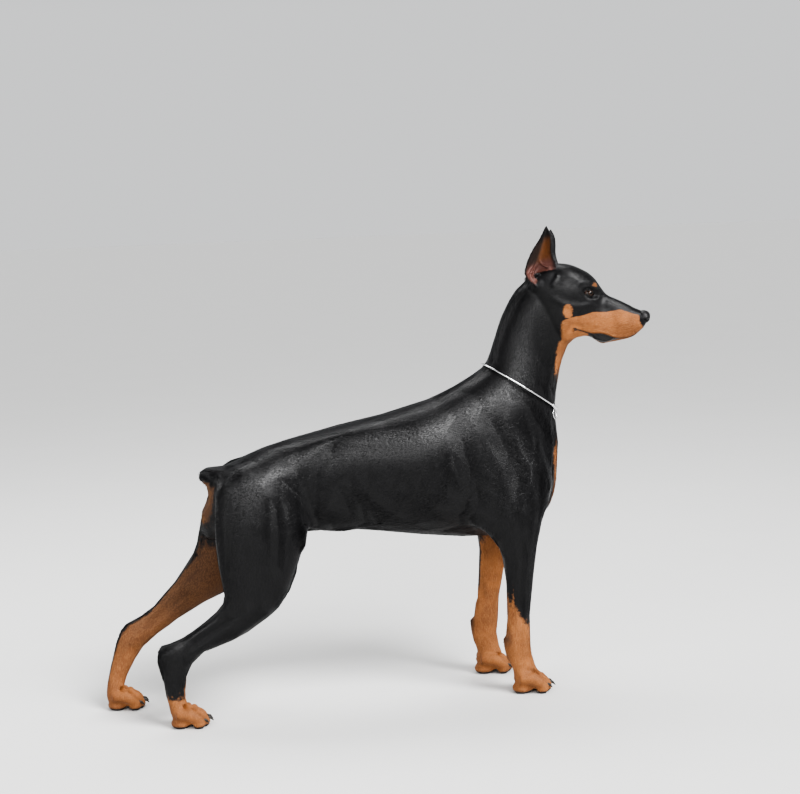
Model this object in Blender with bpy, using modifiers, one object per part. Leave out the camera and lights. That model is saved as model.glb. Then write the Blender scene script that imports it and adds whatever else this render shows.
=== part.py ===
"""Doberman pinscher bitch standing in a show stance, life size, closed mouth, cropped ears, docked tail.

Metres. +X is the way the trunk faces, +Y is the dog's left, +Z is up, and all four paws rest at z = 0.
The flesh is modelled whole as overlapping lofts and muscles, fused by a voxel remesh, smoothed, and
then parted into head, neck, trunk, tail and legs by thin cuts. Ears, eyes, nose, claws and collar
are solids of their own, each seated in a pocket that is a hair wider than the piece.
"""
import math

import bmesh
import bpy
from mathutils import Matrix, Vector
from mathutils.bvhtree import BVHTree
import numpy as np

# Driving dimensions, for a dog of 0.66 m at the withers. Every place below is in metres, with the
# mid-plane of the trunk at y = 0, before ORIGIN is taken off.
ORIGIN = Vector((-0.0585, -0.0005, 0.0))   # middle of the dog's box, which becomes the origin
GAP = 0.0003                # room between two solids that touch
CUT = 0.0004                # width of the thin cuts that part the flesh

HEAD_TURN = math.radians(23.0)   # the head looks this far to the dog's right
HEAD_PIVOT_X = 0.285             # the head turns about an upright line here, on the mid-plane

TRUNK_VOXEL = 0.0065
LIMB_TOP = 0.31             # from here up to TRUNK_LOW the body gets more and more smoothing
TRUNK_LOW = 0.43
DETAIL_VOXEL = 0.0042
FLESH_TRIANGLES = 3560

PAW_SCALE_FRONT = 1.0
PAW_SCALE_HIND = 0.93
CLAW_LENGTH = 0.0125
EYE_RADIUS = 0.0108
COLLAR_RADIUS = 0.0021
COLLAR_ROOM = 0.0025         # how far the collar's cord stands off the neck
SLEEVE_RADIUS = 0.0034       # the crimped sleeve on the cord, and the ring under it
RING_RADIUS = 0.0108
RING_WIRE = 0.0015
RING_DROP = 0.028            # the ring leans on the chest this far below the cord
RING_ROOM = 0.0035
RING_PLACE = -3              # the collar point that the sleeve is crimped on, counted from the throat

# Lofts: each station is an oval between two edges that show in the side view.
# (edge x, edge z, other edge x, other edge z, half width, sideways place, egg shape, squareness)
TRUNK = [
    (-0.398, 0.470, -0.398, 0.420, 0.030, 0, 0.0, 2.0),
    (-0.385, 0.499, -0.392, 0.392, 0.056, 0, 0.0, 2.0),
    (-0.350, 0.512, -0.370, 0.372, 0.072, 0, 0.0, 2.1),
    (-0.300, 0.535, -0.315, 0.366, 0.080, 0, 0.0, 2.2),
    (-0.240, 0.553, -0.245, 0.362, 0.073, 0, 0.05, 2.3),
    (-0.175, 0.566, -0.170, 0.360, 0.070, 0, 0.08, 2.3),
    (-0.110, 0.579, -0.105, 0.357, 0.077, 0, 0.10, 2.25),
    (-0.045, 0.592, -0.045, 0.348, 0.090, 0, 0.10, 2.15),
    (0.020, 0.607, 0.015, 0.338, 0.1005, 0, 0.08, 2.1),
    (0.075, 0.623, 0.070, 0.330, 0.103, 0, 0.05, 2.0),
    (0.130, 0.647, 0.125, 0.323, 0.099, 0, 0.02, 1.95),
    (0.170, 0.655, 0.180, 0.321, 0.092, 0, 0.0, 1.95),
    (0.215, 0.640, 0.240, 0.328, 0.083, 0, 0.0, 2.0),
    (0.255, 0.615, 0.285, 0.345, 0.072, 0, 0.0, 2.0),
    (0.295, 0.575, 0.317, 0.382, 0.057, 0, 0.0, 2.0),
    (0.318, 0.530, 0.327, 0.430, 0.036, 0, 0.0, 2.0),
    (0.329, 0.497, 0.332, 0.468, 0.012, 0, 0.0, 2.0),
]

# The last value of a neck station is its share of the head's turn.
NECK = [
    (0.334, 0.470, 0.080, 0.625, 0.078, 0, 0.0, 2.0, 0.00),
    (0.336, 0.520, 0.138, 0.654, 0.076, 0, 0.0, 2.0, 0.00),
    (0.331, 0.566, 0.168, 0.671, 0.069, 0, 0.0, 2.0, 0.00),
    (0.331, 0.600, 0.184, 0.684, 0.062, 0, 0.0, 2.0, 0.05),
    (0.338, 0.634, 0.196, 0.709, 0.057, 0, 0.0, 2.0, 0.15),
    (0.343, 0.664, 0.208, 0.743, 0.053, 0, 0.0, 2.1, 0.35),
    (0.351, 0.690, 0.221, 0.779, 0.051, 0, 0.0, 2.1, 0.60),
    (0.361, 0.713, 0.239, 0.814, 0.049, 0, 0.0, 2.1, 0.85),
    (0.372, 0.738, 0.262, 0.845, 0.046, 0, 0.0, 2.1, 1.00),
    (0.390, 0.765, 0.290, 0.865, 0.038, 0, 0.0, 2.1, 1.00),
]

# The head's x is measured forward from its pivot, and turned afterwards.
HEAD = [
    (-0.012, 0.858, 0.012, 0.810, 0.022, 0, 0.0, 2.0),
    (0.002, 0.872, 0.030, 0.765, 0.038, 0, 0.0, 2.2),
    (0.026, 0.883, 0.052, 0.728, 0.0475, 0, 0.06, 2.4),
    (0.052, 0.8865, 0.072, 0.716, 0.0515, 0, 0.10, 2.5),
    (0.078, 0.8840, 0.090, 0.7285, 0.0515, 0, 0.12, 2.5),
    (0.100, 0.8760, 0.106, 0.7335, 0.0480, 0, 0.12, 2.5),
    (0.120, 0.8650, 0.120, 0.7320, 0.0415, 0, 0.12, 2.5),
    (0.134, 0.8520, 0.132, 0.7240, 0.0355, 0, 0.08, 2.5),
    (0.146, 0.8340, 0.145, 0.7175, 0.0315, 0, 0.04, 2.5),
    (0.158, 0.8190, 0.158, 0.7195, 0.0292, 0, 0.04, 2.6),
    (0.185, 0.8055, 0.183, 0.7235, 0.0268, 0, 0.06, 2.7),
    (0.210, 0.7925, 0.207, 0.7300, 0.0245, 0, 0.06, 2.7),
    (0.227, 0.7850, 0.223, 0.7420, 0.0205, 0, 0.04, 2.6),
    (0.236, 0.7790, 0.233, 0.7520, 0.0150, 0, 0.0, 2.4),
    (0.240, 0.7700, 0.239, 0.7620, 0.0060, 0, 0.0, 2.0),
]

# The right foreleg, from the upper arm down to the pastern.
FORELEG = [
    (0.285, 0.510, 0.160, 0.520, 0.024, 0.060, 0.0, 2.0),
    (0.298, 0.450, 0.155, 0.450, 0.031, 0.072, 0.0, 2.0),
    (0.290, 0.400, 0.160, 0.378, 0.033, 0.081, 0.0, 2.0),
    (0.273, 0.357, 0.164, 0.342, 0.031, 0.084, 0.0, 2.0),
    (0.263, 0.318, 0.177, 0.313, 0.0275, 0.084, 0.0, 2.0),
    (0.257, 0.280, 0.186, 0.280, 0.0242, 0.084, 0.0, 2.0),
    (0.252, 0.245, 0.189, 0.245, 0.0215, 0.084, 0.0, 2.0),
    (0.248, 0.205, 0.1905, 0.205, 0.0192, 0.083, 0.0, 2.0),
    (0.2445, 0.168, 0.191, 0.170, 0.0185, 0.082, 0.0, 2.0),
    (0.2430, 0.140, 0.1885, 0.142, 0.0205, 0.081, 0.0, 2.0),
    (0.2435, 0.112, 0.1875, 0.106, 0.0202, 0.080, 0.0, 2.0),
    (0.2455, 0.088, 0.188, 0.078, 0.0185, 0.079, 0.0, 2.0),
    (0.2520, 0.062, 0.199, 0.055, 0.0190, 0.078, 0.0, 2.1),
    (0.2580, 0.046, 0.204, 0.036, 0.0220, 0.078, 0.0, 2.2),
    (0.2580, 0.034, 0.206, 0.020, 0.0225, 0.078, 0.0, 2.2),
    (0.2520, 0.020, 0.212, 0.010, 0.0200, 0.078, 0.0, 2.2),
]
FORE_PAW = (0.2190, 0.078)       # place of the middle of the big pad, under the pastern
LEFT_FORE_SET_BACK = 0.040       # the left forepaw stands this far behind the right one
ELBOW_HEIGHT = 0.340             # the set back grows from nothing here to all of it at the floor

# The right hind leg, from the hip down: thigh, lower thigh, hock and rear pastern.
RIGHT_HIND_LEG = [
    (-0.255, 0.515, -0.335, 0.520, 0.026, 0.036, 0.0, 2.0),
    (-0.232, 0.470, -0.372, 0.500, 0.034, 0.052, 0.0, 2.0),
    (-0.213, 0.420, -0.392, 0.455, 0.041, 0.058, 0.0, 2.0),
    (-0.210, 0.378, -0.400, 0.410, 0.043, 0.063, 0.0, 2.0),
    (-0.222, 0.340, -0.401, 0.365, 0.040, 0.067, 0.0, 2.0),
    (-0.237, 0.305, -0.398, 0.325, 0.036, 0.071, 0.0, 2.0),
    (-0.251, 0.270, -0.394, 0.294, 0.033, 0.074, 0.0, 2.0),
    (-0.267, 0.240, -0.390, 0.270, 0.030, 0.076, 0.0, 2.0),
    (-0.290, 0.215, -0.389, 0.252, 0.028, 0.077, 0.0, 2.0),
    (-0.320, 0.195, -0.398, 0.238, 0.0255, 0.078, 0.0, 2.0),
    (-0.355, 0.174, -0.420, 0.219, 0.0225, 0.079, 0.0, 2.0),
    (-0.393, 0.160, -0.447, 0.201, 0.0195, 0.079, 0.0, 2.0),
    (-0.426, 0.150, -0.480, 0.182, 0.0175, 0.079, 0.0, 2.0),
    (-0.449, 0.133, -0.514, 0.170, 0.0180, 0.079, 0.0, 2.1),
    (-0.462, 0.113, -0.529, 0.150, 0.0180, 0.079, 0.0, 2.1),
    (-0.467, 0.092, -0.525, 0.122, 0.0165, 0.078, 0.0, 2.1),
    (-0.471, 0.072, -0.518, 0.092, 0.0155, 0.078, 0.0, 2.1),
    (-0.470, 0.052, -0.513, 0.060, 0.0165, 0.078, 0.0, 2.1),
    (-0.460, 0.038, -0.508, 0.034, 0.0200, 0.078, 0.0, 2.1),
    (-0.460, 0.022, -0.502, 0.011, 0.0190, 0.078, 0.0, 2.1),
]
RIGHT_HIND_PAW = (-0.4890, 0.078)

# The left hind leg stands further back, with a straighter stifle.
LEFT_HIND_LEG = [
    (-0.255, 0.515, -0.335, 0.520, 0.026, 0.036, 0.0, 2.0),
    (-0.235, 0.470, -0.372, 0.500, 0.034, 0.052, 0.0, 2.0),
    (-0.222, 0.420, -0.394, 0.455, 0.041, 0.058, 0.0, 2.0),
    (-0.232, 0.378, -0.411, 0.412, 0.043, 0.063, 0.0, 2.0),
    (-0.255, 0.340, -0.421, 0.372, 0.040, 0.067, 0.0, 2.0),
    (-0.283, 0.303, -0.427, 0.340, 0.036, 0.071, 0.0, 2.0),
    (-0.308, 0.270, -0.437, 0.315, 0.033, 0.074, 0.0, 2.0),
    (-0.332, 0.247, -0.449, 0.297, 0.030, 0.076, 0.0, 2.0),
    (-0.358, 0.234, -0.463, 0.278, 0.028, 0.077, 0.0, 2.0),
    (-0.387, 0.221, -0.479, 0.257, 0.0255, 0.078, 0.0, 2.0),
    (-0.420, 0.206, -0.499, 0.236, 0.0225, 0.079, 0.0, 2.0),
    (-0.455, 0.187, -0.521, 0.214, 0.0195, 0.079, 0.0, 2.0),
    (-0.493, 0.163, -0.548, 0.195, 0.0175, 0.079, 0.0, 2.0),
    (-0.530, 0.138, -0.578, 0.178, 0.0180, 0.079, 0.0, 2.1),
    (-0.552, 0.117, -0.598, 0.153, 0.0180, 0.079, 0.0, 2.1),
    (-0.565, 0.095, -0.607, 0.123, 0.0165, 0.078, 0.0, 2.1),
    (-0.578, 0.072, -0.617, 0.090, 0.0155, 0.078, 0.0, 2.1),
    (-0.586, 0.050, -0.625, 0.058, 0.0165, 0.078, 0.0, 2.1),
    (-0.583, 0.036, -0.629, 0.032, 0.0200, 0.078, 0.0, 2.1),
    (-0.583, 0.022, -0.624, 0.011, 0.0190, 0.078, 0.0, 2.1),
]
LEFT_HIND_PAW = (-0.6080, 0.078)

TAIL = [
    (-0.325, 0.514, -0.345, 0.460, 0.030, 0, 0.0, 2.0),
    (-0.362, 0.513, -0.370, 0.463, 0.026, 0, 0.0, 2.0),
    (-0.394, 0.513, -0.396, 0.467, 0.0220, 0, 0.0, 2.0),
    (-0.414, 0.510, -0.411, 0.470, 0.0190, 0, 0.0, 2.0),
    (-0.425, 0.500, -0.423, 0.480, 0.0120, 0, 0.0, 2.0),
]

# Muscles on both sides, each from a start to an end (x, z, out from the mid-plane),
# with its half depth in the side view and its half width across.
MUSCLES = {
    "shoulder_blade": ((0.150, 0.612, 0.040), (0.270, 0.425, 0.070), 0.058, 0.022),
    "upper_arm": ((0.285, 0.450, 0.066), (0.205, 0.340, 0.084), 0.038, 0.029),
    "triceps": ((0.110, 0.510, 0.066), (0.185, 0.335, 0.082), 0.046, 0.025),
    "breast": ((0.296, 0.490, 0.034), (0.272, 0.380, 0.040), 0.034, 0.030),
    "rump": ((-0.345, 0.462, 0.044), (-0.215, 0.505, 0.044), 0.040, 0.036),
    "outer_thigh": ((-0.300, 0.500, 0.060), (-0.300, 0.290, 0.070), 0.068, 0.035),
    "hamstring": ((-0.360, 0.475, 0.056), (-0.368, 0.290, 0.068), 0.030, 0.028),
    "loin": ((-0.230, 0.528, 0.034), (0.020, 0.573, 0.036), 0.026, 0.028),
}

# The places of a paw's four toes, in the paw's own frame: sideways, and how far forward each reaches.
TOES = [(-0.0212, 0.044), (-0.0076, 0.055), (0.0076, 0.055), (0.0212, 0.044)]

# An ear's front edge, closed back and outer edge, from its root up to its tip,
# each as (forward of the pivot, out from the mid-plane, height).
EAR_FRONT = [(0.060, 0.028, 0.873), (0.056, 0.036, 0.890), (0.051, 0.044, 0.908),
             (0.051, 0.048, 0.930), (0.049, 0.049, 0.948), (0.0425, 0.047, 0.9630)]
EAR_BACK = [(0.012, 0.026, 0.856), (0.012, 0.022, 0.876), (0.018, 0.025, 0.898),
            (0.027, 0.032, 0.923), (0.034, 0.039, 0.945), (0.0400, 0.045, 0.9650)]
EAR_OUTER = [(0.024, 0.044, 0.834), (-0.004, 0.058, 0.860), (-0.002, 0.060, 0.888),
             (0.010, 0.056, 0.915), (0.025, 0.051, 0.939), (0.0370, 0.048, 0.9630)]
EAR_THICKNESS = 0.0040      # at the root; it thins to EAR_RIM at the tip
EAR_RIM = 0.0020
LEFT_EAR_HEIGHT = 0.93      # the left ear stands this much as tall as the right one

NOSE_PLACE = (0.2310, 0.0, 0.7710)
NOSE_SIZE = (0.0265, 0.0365, 0.0285)
EYE_PLACE = (0.1185, 0.0300, 0.8240)

# The collar lies in a sloping plane through these two points of the side view.
COLLAR_NAPE = Vector((0.180, 0.0, 0.682))
COLLAR_THROAT = Vector((0.331, 0.0, 0.582))

COLOURS = {
    "black_coat": ((0.012, 0.012, 0.014), 0.38, 0.0),
    "rust_coat": ((0.42, 0.17, 0.055), 0.5, 0.0),
    "nose_leather": ((0.015, 0.014, 0.015), 0.45, 0.0),
    "eye": ((0.035, 0.014, 0.007), 0.1, 0.0),
    "claw": ((0.02, 0.017, 0.015), 0.4, 0.0),
    "collar_metal": ((0.75, 0.75, 0.76), 0.25, 1.0),
}


def clear_scene():
    for obj in list(bpy.data.objects):
        bpy.data.objects.remove(obj, do_unlink=True)


def collection(name):
    made = bpy.data.collections.new(name)
    bpy.context.scene.collection.children.link(made)
    return made


def material(name):
    colour, roughness, metallic = COLOURS[name]
    made = bpy.data.materials.new(name)
    made.use_nodes = True
    shader = made.node_tree.nodes["Principled BSDF"]
    shader.inputs["Base Color"].default_value = (*colour, 1.0)
    shader.inputs["Roughness"].default_value = roughness
    shader.inputs["Metallic"].default_value = metallic
    return made


def add_object(name, mesh_maker, place):
    """A new object in the collection, from a bmesh or a mesh."""
    mesh = mesh_maker
    if isinstance(mesh_maker, bmesh.types.BMesh):
        mesh = bpy.data.meshes.new(name)
        mesh_maker.to_mesh(mesh)
        mesh_maker.free()
    obj = bpy.data.objects.new(name, mesh)
    place.objects.link(obj)
    return obj


def add_modifier(obj, kind, **settings):
    modifier = obj.modifiers.new(kind.lower(), kind)
    for setting, value in settings.items():
        setattr(modifier, setting, value)
    return modifier


def apply_modifiers(obj):
    """Replaces the object's mesh with the one that its modifiers give."""
    bpy.context.view_layer.update()
    graph = bpy.context.evaluated_depsgraph_get()
    made = bpy.data.meshes.new_from_object(obj.evaluated_get(graph))
    obj.modifiers.clear()
    obj.data = made


def smooth_rows(rows, steps):
    """More rows between the given ones, on a smooth curve through them."""
    rows = np.array(rows, float)
    ends = np.vstack([2 * rows[0] - rows[1], rows, 2 * rows[-1] - rows[-2]])
    finer = []
    for before, start, end, after in zip(ends, ends[1:], ends[2:], ends[3:]):
        for t in np.arange(steps) / steps:
            curve = 2 * start + (end - before) * t
            curve = curve + (2 * before - 5 * start + 4 * end - after) * t ** 2
            curve = curve + (3 * start - before - 3 * end + after) * t ** 3
            finer.append(curve / 2)
    return np.array(finer + [rows[-1]])


def turned(point, share=1.0):
    """The point after the head's turn, or a share of it, about the pivot line."""
    angle = -HEAD_TURN * share
    x = point[0] - HEAD_PIVOT_X
    y = point[1]
    return Vector((HEAD_PIVOT_X + x * math.cos(angle) - y * math.sin(angle),
                   x * math.sin(angle) + y * math.cos(angle), point[2]))


def on_head(forward, out, height):
    """A place given in the head's own frame."""
    return turned((HEAD_PIVOT_X + forward, out, height))


def oval(station, points=28):
    """The ring of points of one station."""
    x1, z1, x2, z2, half_width, sideways, egg, square = station[:8]
    middle = Vector(((x1 + x2) / 2, sideways, (z1 + z2) / 2))
    reach = Vector(((x1 - x2) / 2, 0.0, (z1 - z2) / 2))
    ring = []
    for i in range(points):
        angle = 2 * math.pi * i / points
        along = math.copysign(abs(math.cos(angle)) ** (2 / square), math.cos(angle))
        across = math.copysign(abs(math.sin(angle)) ** (2 / square), math.sin(angle))
        ring.append(middle + reach * along + Vector((0, half_width * across * (1 + egg * along), 0)))
    return ring


def loft(name, rings, place, folded=False):
    """A closed tube through the rings, with a fan at each end, or a strip if the rings are folded."""
    shape = bmesh.new()
    rows = [[shape.verts.new(point) for point in ring] for ring in rings]
    count = len(rows[0])
    for lower, upper in zip(rows, rows[1:]):
        for i in range(count):
            j = (i + 1) % count
            shape.faces.new((lower[i], lower[j], upper[j], upper[i]))
    for row in (rows[0], rows[-1]):
        if folded:
            for i in range(count // 2 - 1):
                shape.faces.new((row[i], row[i + 1], row[count - 2 - i], row[count - 1 - i]))
            continue
        middle = sum((vert.co for vert in row), Vector()) / count
        hub = shape.verts.new(middle)
        for i in range(count):
            shape.faces.new((row[i], row[(i + 1) % count], hub))
    bmesh.ops.recalc_face_normals(shape, faces=shape.faces)
    return add_object(name, shape, place)


def body_loft(name, stations, place, side=0, steps=3, lean=None):
    """A loft from stations, mirrored to one side of the body, and leant if told."""
    rings = []
    for station in smooth_rows(stations, steps):
        ring = oval(station)
        if len(station) == 9:
            ring = [turned(point, station[8]) for point in ring]
        if side:
            ring = [Vector((point.x, point.y * side, point.z)) for point in ring]
        if lean:
            ring = [lean(point) for point in ring]
        rings.append(ring)
    return loft(name, rings, place)


def muscle(name, start, end, half_depth, half_width, side, place):
    """An ellipsoid laid along a line beside the mid-plane."""
    start = Vector((start[0], side * start[2], start[1]))
    end = Vector((end[0], side * end[2], end[1]))
    shape = bmesh.new()
    bmesh.ops.create_uvsphere(shape, u_segments=24, v_segments=14, radius=1.0)
    along = (end - start).normalized()
    turn = along.to_track_quat("Z", "Y").to_matrix().to_4x4()
    sizes = Matrix.Diagonal((half_depth, half_width, (end - start).length / 2, 1.0))
    across = turn @ Vector((1, 0, 0))
    if abs(across.y) > 0.5:
        sizes = Matrix.Diagonal((half_width, half_depth, (end - start).length / 2, 1.0))
    bmesh.ops.transform(shape, matrix=Matrix.Translation((start + end) / 2) @ turn @ sizes,
                        verts=shape.verts)
    return add_object(name, shape, place)


def ball(name, middle, radii, place):
    shape = bmesh.new()
    bmesh.ops.create_uvsphere(shape, u_segments=14, v_segments=8, radius=1.0)
    bmesh.ops.transform(shape, matrix=Matrix.Translation(middle) @ Matrix.Diagonal((*radii, 1.0)),
                        verts=shape.verts)
    return add_object(name, shape, place)


def tapered_rod(name, points, radii, place, sides=12):
    """A round rod through points, each with its own radius."""
    rings = []
    points = [Vector(point) for point in points]
    for i, (point, radius) in enumerate(zip(points, radii)):
        ahead = points[min(i + 1, len(points) - 1)] - points[max(i - 1, 0)]
        turn = ahead.to_track_quat("Z", "Y")
        rings.append([point + turn @ Vector((radius * math.cos(angle), radius * math.sin(angle), 0))
                      for angle in (2 * math.pi * k / sides for k in range(sides))])
    return loft(name, rings, place)


def toe_points(toe, scale):
    """Root, knuckle, bend and tip of a toe in the paw's frame."""
    sideways, reach = toe
    return [Vector((-0.006, sideways * 0.60, 0.034)) * scale,
            Vector((reach - 0.026, sideways * 0.92, 0.0330)) * scale,
            Vector((reach - 0.009, sideways, 0.0245)) * scale,
            Vector((reach, sideways, 0.0140)) * scale]


def paw_clay(name, at, side, scale, place):
    """The toes and pads of one paw."""
    origin = Vector((at[0], at[1] * side, 0))
    made = []
    for number, toe in enumerate(TOES):
        points = [origin + point for point in toe_points(toe, scale)]
        radii = [radius * scale for radius in (0.0130, 0.0138, 0.0130, 0.0106)]
        made.append(tapered_rod(f"{name}_toe_{number}", points, radii, place))
        made.append(ball(f"{name}_tip_{number}", points[-1],
                         (0.0118 * scale, 0.0104 * scale, 0.0112 * scale), place))
        made.append(ball(f"{name}_pad_{number}", points[-1] + Vector((-0.003, 0, -0.0060)) * scale,
                         (0.0125 * scale, 0.0090 * scale, 0.0108 * scale), place))
    made.append(ball(f"{name}_big_pad", origin + Vector((0.004, 0, 0.0110)) * scale,
                     (0.0215 * scale, 0.0215 * scale, 0.0145 * scale), place))
    made.append(ball(f"{name}_arch", origin + Vector((0.012, 0, 0.030)) * scale,
                     (0.0270 * scale, 0.0235 * scale, 0.0150 * scale), place))
    return made


def fuse(name, pieces, voxel, smoothing, place):
    """One closed body from overlapping pieces: a voxel remesh and then a smooth."""
    shape = bmesh.new()
    for piece in pieces:
        shape.from_mesh(piece.data)
        bpy.data.objects.remove(piece)
    fused = add_object(name, shape, place)
    add_modifier(fused, "REMESH", mode="VOXEL", voxel_size=voxel)
    add_modifier(fused, "SMOOTH", factor=0.5, iterations=smoothing)
    apply_modifiers(fused)
    return fused


def soften_trunk(obj, rounds):
    """Smooths the trunk further, where muscles meet, and leaves the slim limbs and head alone."""
    group = obj.vertex_groups.new(name="trunk")
    for vert in obj.data.vertices:
        rise = (vert.co.z - LIMB_TOP) / (TRUNK_LOW - LIMB_TOP)
        group.add([vert.index], min(1.0, max(0.0, rise)), "REPLACE")
    add_modifier(obj, "SMOOTH", factor=0.5, iterations=rounds, vertex_group=group.name)
    apply_modifiers(obj)
    obj.vertex_groups.clear()


def left_lean(point):
    """Sets the left foreleg back, by more and more from the elbow down."""
    share = max(0.0, 1.0 - point.z / ELBOW_HEIGHT)
    return Vector((point.x - LEFT_FORE_SET_BACK * share, point.y, point.z))


def flesh(place):
    """The whole skin-covered body as one closed solid."""
    masses = [body_loft("trunk_mass", TRUNK, place), body_loft("neck_mass", NECK, place),
              body_loft("tail_mass", TAIL, place),
              body_loft("foreleg_mass_right", FORELEG, place, side=-1),
              body_loft("foreleg_mass_left", FORELEG, place, side=1, lean=left_lean),
              body_loft("hindleg_mass_right", RIGHT_HIND_LEG, place, side=-1),
              body_loft("hindleg_mass_left", LEFT_HIND_LEG, place, side=1)]
    for side, word in ((-1, "right"), (1, "left")):
        for name, (start, end, depth, width) in MUSCLES.items():
            masses.append(muscle(f"{name}_{word}", start, end, depth, width, side, place))
    rough = fuse("rough_body", masses, TRUNK_VOXEL, 9, place)
    soften_trunk(rough, 16)

    head = [[on_head(point.x, point.y, point.z) for point in oval(station)]
            for station in smooth_rows(HEAD, 3)]
    details = [rough, loft("head_mass", head, place)]
    for side, word in ((-1, "right"), (1, "left")):
        details.append(ball(f"ear_root_{word}", on_head(0.024, side * 0.034, 0.856),
                            (0.026, 0.018, 0.022), place))
        details.append(ball(f"lip_{word}", on_head(0.150, side * 0.017, 0.727),
                            (0.022, 0.010, 0.0105), place))
    fore_left = (FORE_PAW[0] - LEFT_FORE_SET_BACK, FORE_PAW[1])
    details += paw_clay("fore_right", FORE_PAW, -1, PAW_SCALE_FRONT, place)
    details += paw_clay("fore_left", fore_left, 1, PAW_SCALE_FRONT, place)
    details += paw_clay("hind_right", RIGHT_HIND_PAW, -1, PAW_SCALE_HIND, place)
    details += paw_clay("hind_left", LEFT_HIND_PAW, 1, PAW_SCALE_HIND, place)
    whole = fuse("whole_body", details, DETAIL_VOXEL, 2, place)
    triangles = 2 * len(whole.data.polygons)
    add_modifier(whole, "DECIMATE", ratio=FLESH_TRIANGLES / triangles)
    apply_modifiers(whole)
    return whole


def block(name, corners, place):
    """A convex block with these corners."""
    shape = bmesh.new()
    for corner in corners:
        shape.verts.new(corner)
    bmesh.ops.convex_hull(shape, input=shape.verts)
    bmesh.ops.recalc_face_normals(shape, faces=shape.faces)
    return add_object(name, shape, place)


def side_block(name, outline, half_width, place):
    """A convex block with this outline in the side view."""
    corners = [(x, y, z) for x, z in outline for y in (-half_width, half_width)]
    return block(name, corners, place)


def leg_block(name, front, rear, side, crotch, outer_top, place):
    """A block round one leg, with a roof that slopes up and outwards from the crotch."""
    corners = []
    for x in (rear, front):
        for y, z in ((0.006, -0.05), (0.22, -0.05), crotch, (0.22, outer_top)):
            corners.append((x, side * y, z))
    return block(name, corners, place)


def cutter_for(piece, place, room):
    """A copy of a closed piece, grown by some room on every side, as a Boolean cutter."""
    add_modifier(piece, "TRIANGULATE")
    apply_modifiers(piece)
    cutter = add_object(f"pocket_{piece.name}", piece.data.copy(), place)
    cutter.matrix_world = piece.matrix_world
    add_modifier(cutter, "DISPLACE", strength=room, mid_level=0.0, direction="NORMAL")
    apply_modifiers(cutter)
    return cutter


def subtract(host, cutter):
    add_modifier(host, "BOOLEAN", operation="DIFFERENCE", object=cutter, solver="EXACT")
    apply_modifiers(host)


def grow(cutter):
    """Moves every face of a convex block outwards by the width of a cut."""
    shape = bmesh.new()
    shape.from_mesh(cutter.data)
    shape.normal_update()
    moves = [(vert, vert.normal * CUT * vert.calc_shell_factor()) for vert in shape.verts]
    for vert, move in moves:
        vert.co += move
    shape.to_mesh(cutter.data)
    shape.free()


def keep_largest(obj):
    """Drops the crumbs that a cut leaves beside the main body of a piece."""
    shape = bmesh.new()
    shape.from_mesh(obj.data)
    unseen = set(shape.verts)
    bodies = []
    while unseen:
        body = {unseen.pop()}
        border = list(body)
        while border:
            for edge in border.pop().link_edges:
                fresh = set(edge.verts) - body
                body |= fresh
                border += fresh
        unseen -= body
        bodies.append(body)
    largest = max(bodies, key=len)
    bmesh.ops.delete(shape, geom=[vert for vert in shape.verts if vert not in largest], context="VERTS")
    shape.to_mesh(obj.data)
    shape.free()


def part_off(name, whole, cutter, place):
    """Cuts the piece inside a block off the body, leaving a thin gap."""
    piece = add_object(name, whole.data.copy(), place)
    add_modifier(piece, "BOOLEAN", operation="INTERSECT", object=cutter, solver="EXACT")
    apply_modifiers(piece)
    grow(cutter)
    subtract(whole, cutter)
    keep_largest(piece)
    return piece


def part_flesh(whole, helpers, place):
    """Parts the body into its named lengths; what is left at the end is the trunk."""
    floor = side_block("floor_cut", [(-0.9, 0.0), (-0.9, -0.2), (0.9, -0.2), (0.9, 0.0)], 0.5, helpers)
    subtract(whole, floor)
    blocks = {
        "head": side_block("head_cut", [(0.238, 1.05), (0.238, 0.888), (0.352, 0.690),
                                        (0.400, 0.640), (0.70, 0.640), (0.70, 1.05)], 0.30, helpers),
        "neck": side_block("neck_cut", [(0.130, 1.10), (0.130, 0.690), (0.360, 0.475),
                                        (0.75, 0.475), (0.75, 1.10)], 0.35, helpers),
        "tail": side_block("tail_cut", [(-0.50, 0.462), (-0.397, 0.462), (-0.387, 0.54),
                                        (-0.50, 0.54)], 0.06, helpers),
        "foreleg_right": leg_block("foreleg_right_cut", 0.42, 0.05, -1, (0.040, 0.318), 0.520,
                                   helpers),
        "foreleg_left": leg_block("foreleg_left_cut", 0.43, 0.04, 1, (0.042, 0.320), 0.518,
                                  helpers),
        "hindleg_right": leg_block("hindleg_right_cut", -0.195, -0.75, -1, (0.010, 0.345), 0.560,
                                   helpers),
        "hindleg_left": leg_block("hindleg_left_cut", -0.198, -0.77, 1, (0.012, 0.347), 0.557,
                                  helpers),
    }
    named = {name: part_off(name, whole, cutter, place) for name, cutter in blocks.items()}
    named["trunk"] = add_object("trunk", whole.data, place)
    keep_largest(named["trunk"])
    bpy.data.objects.remove(whole)
    return named


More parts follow.
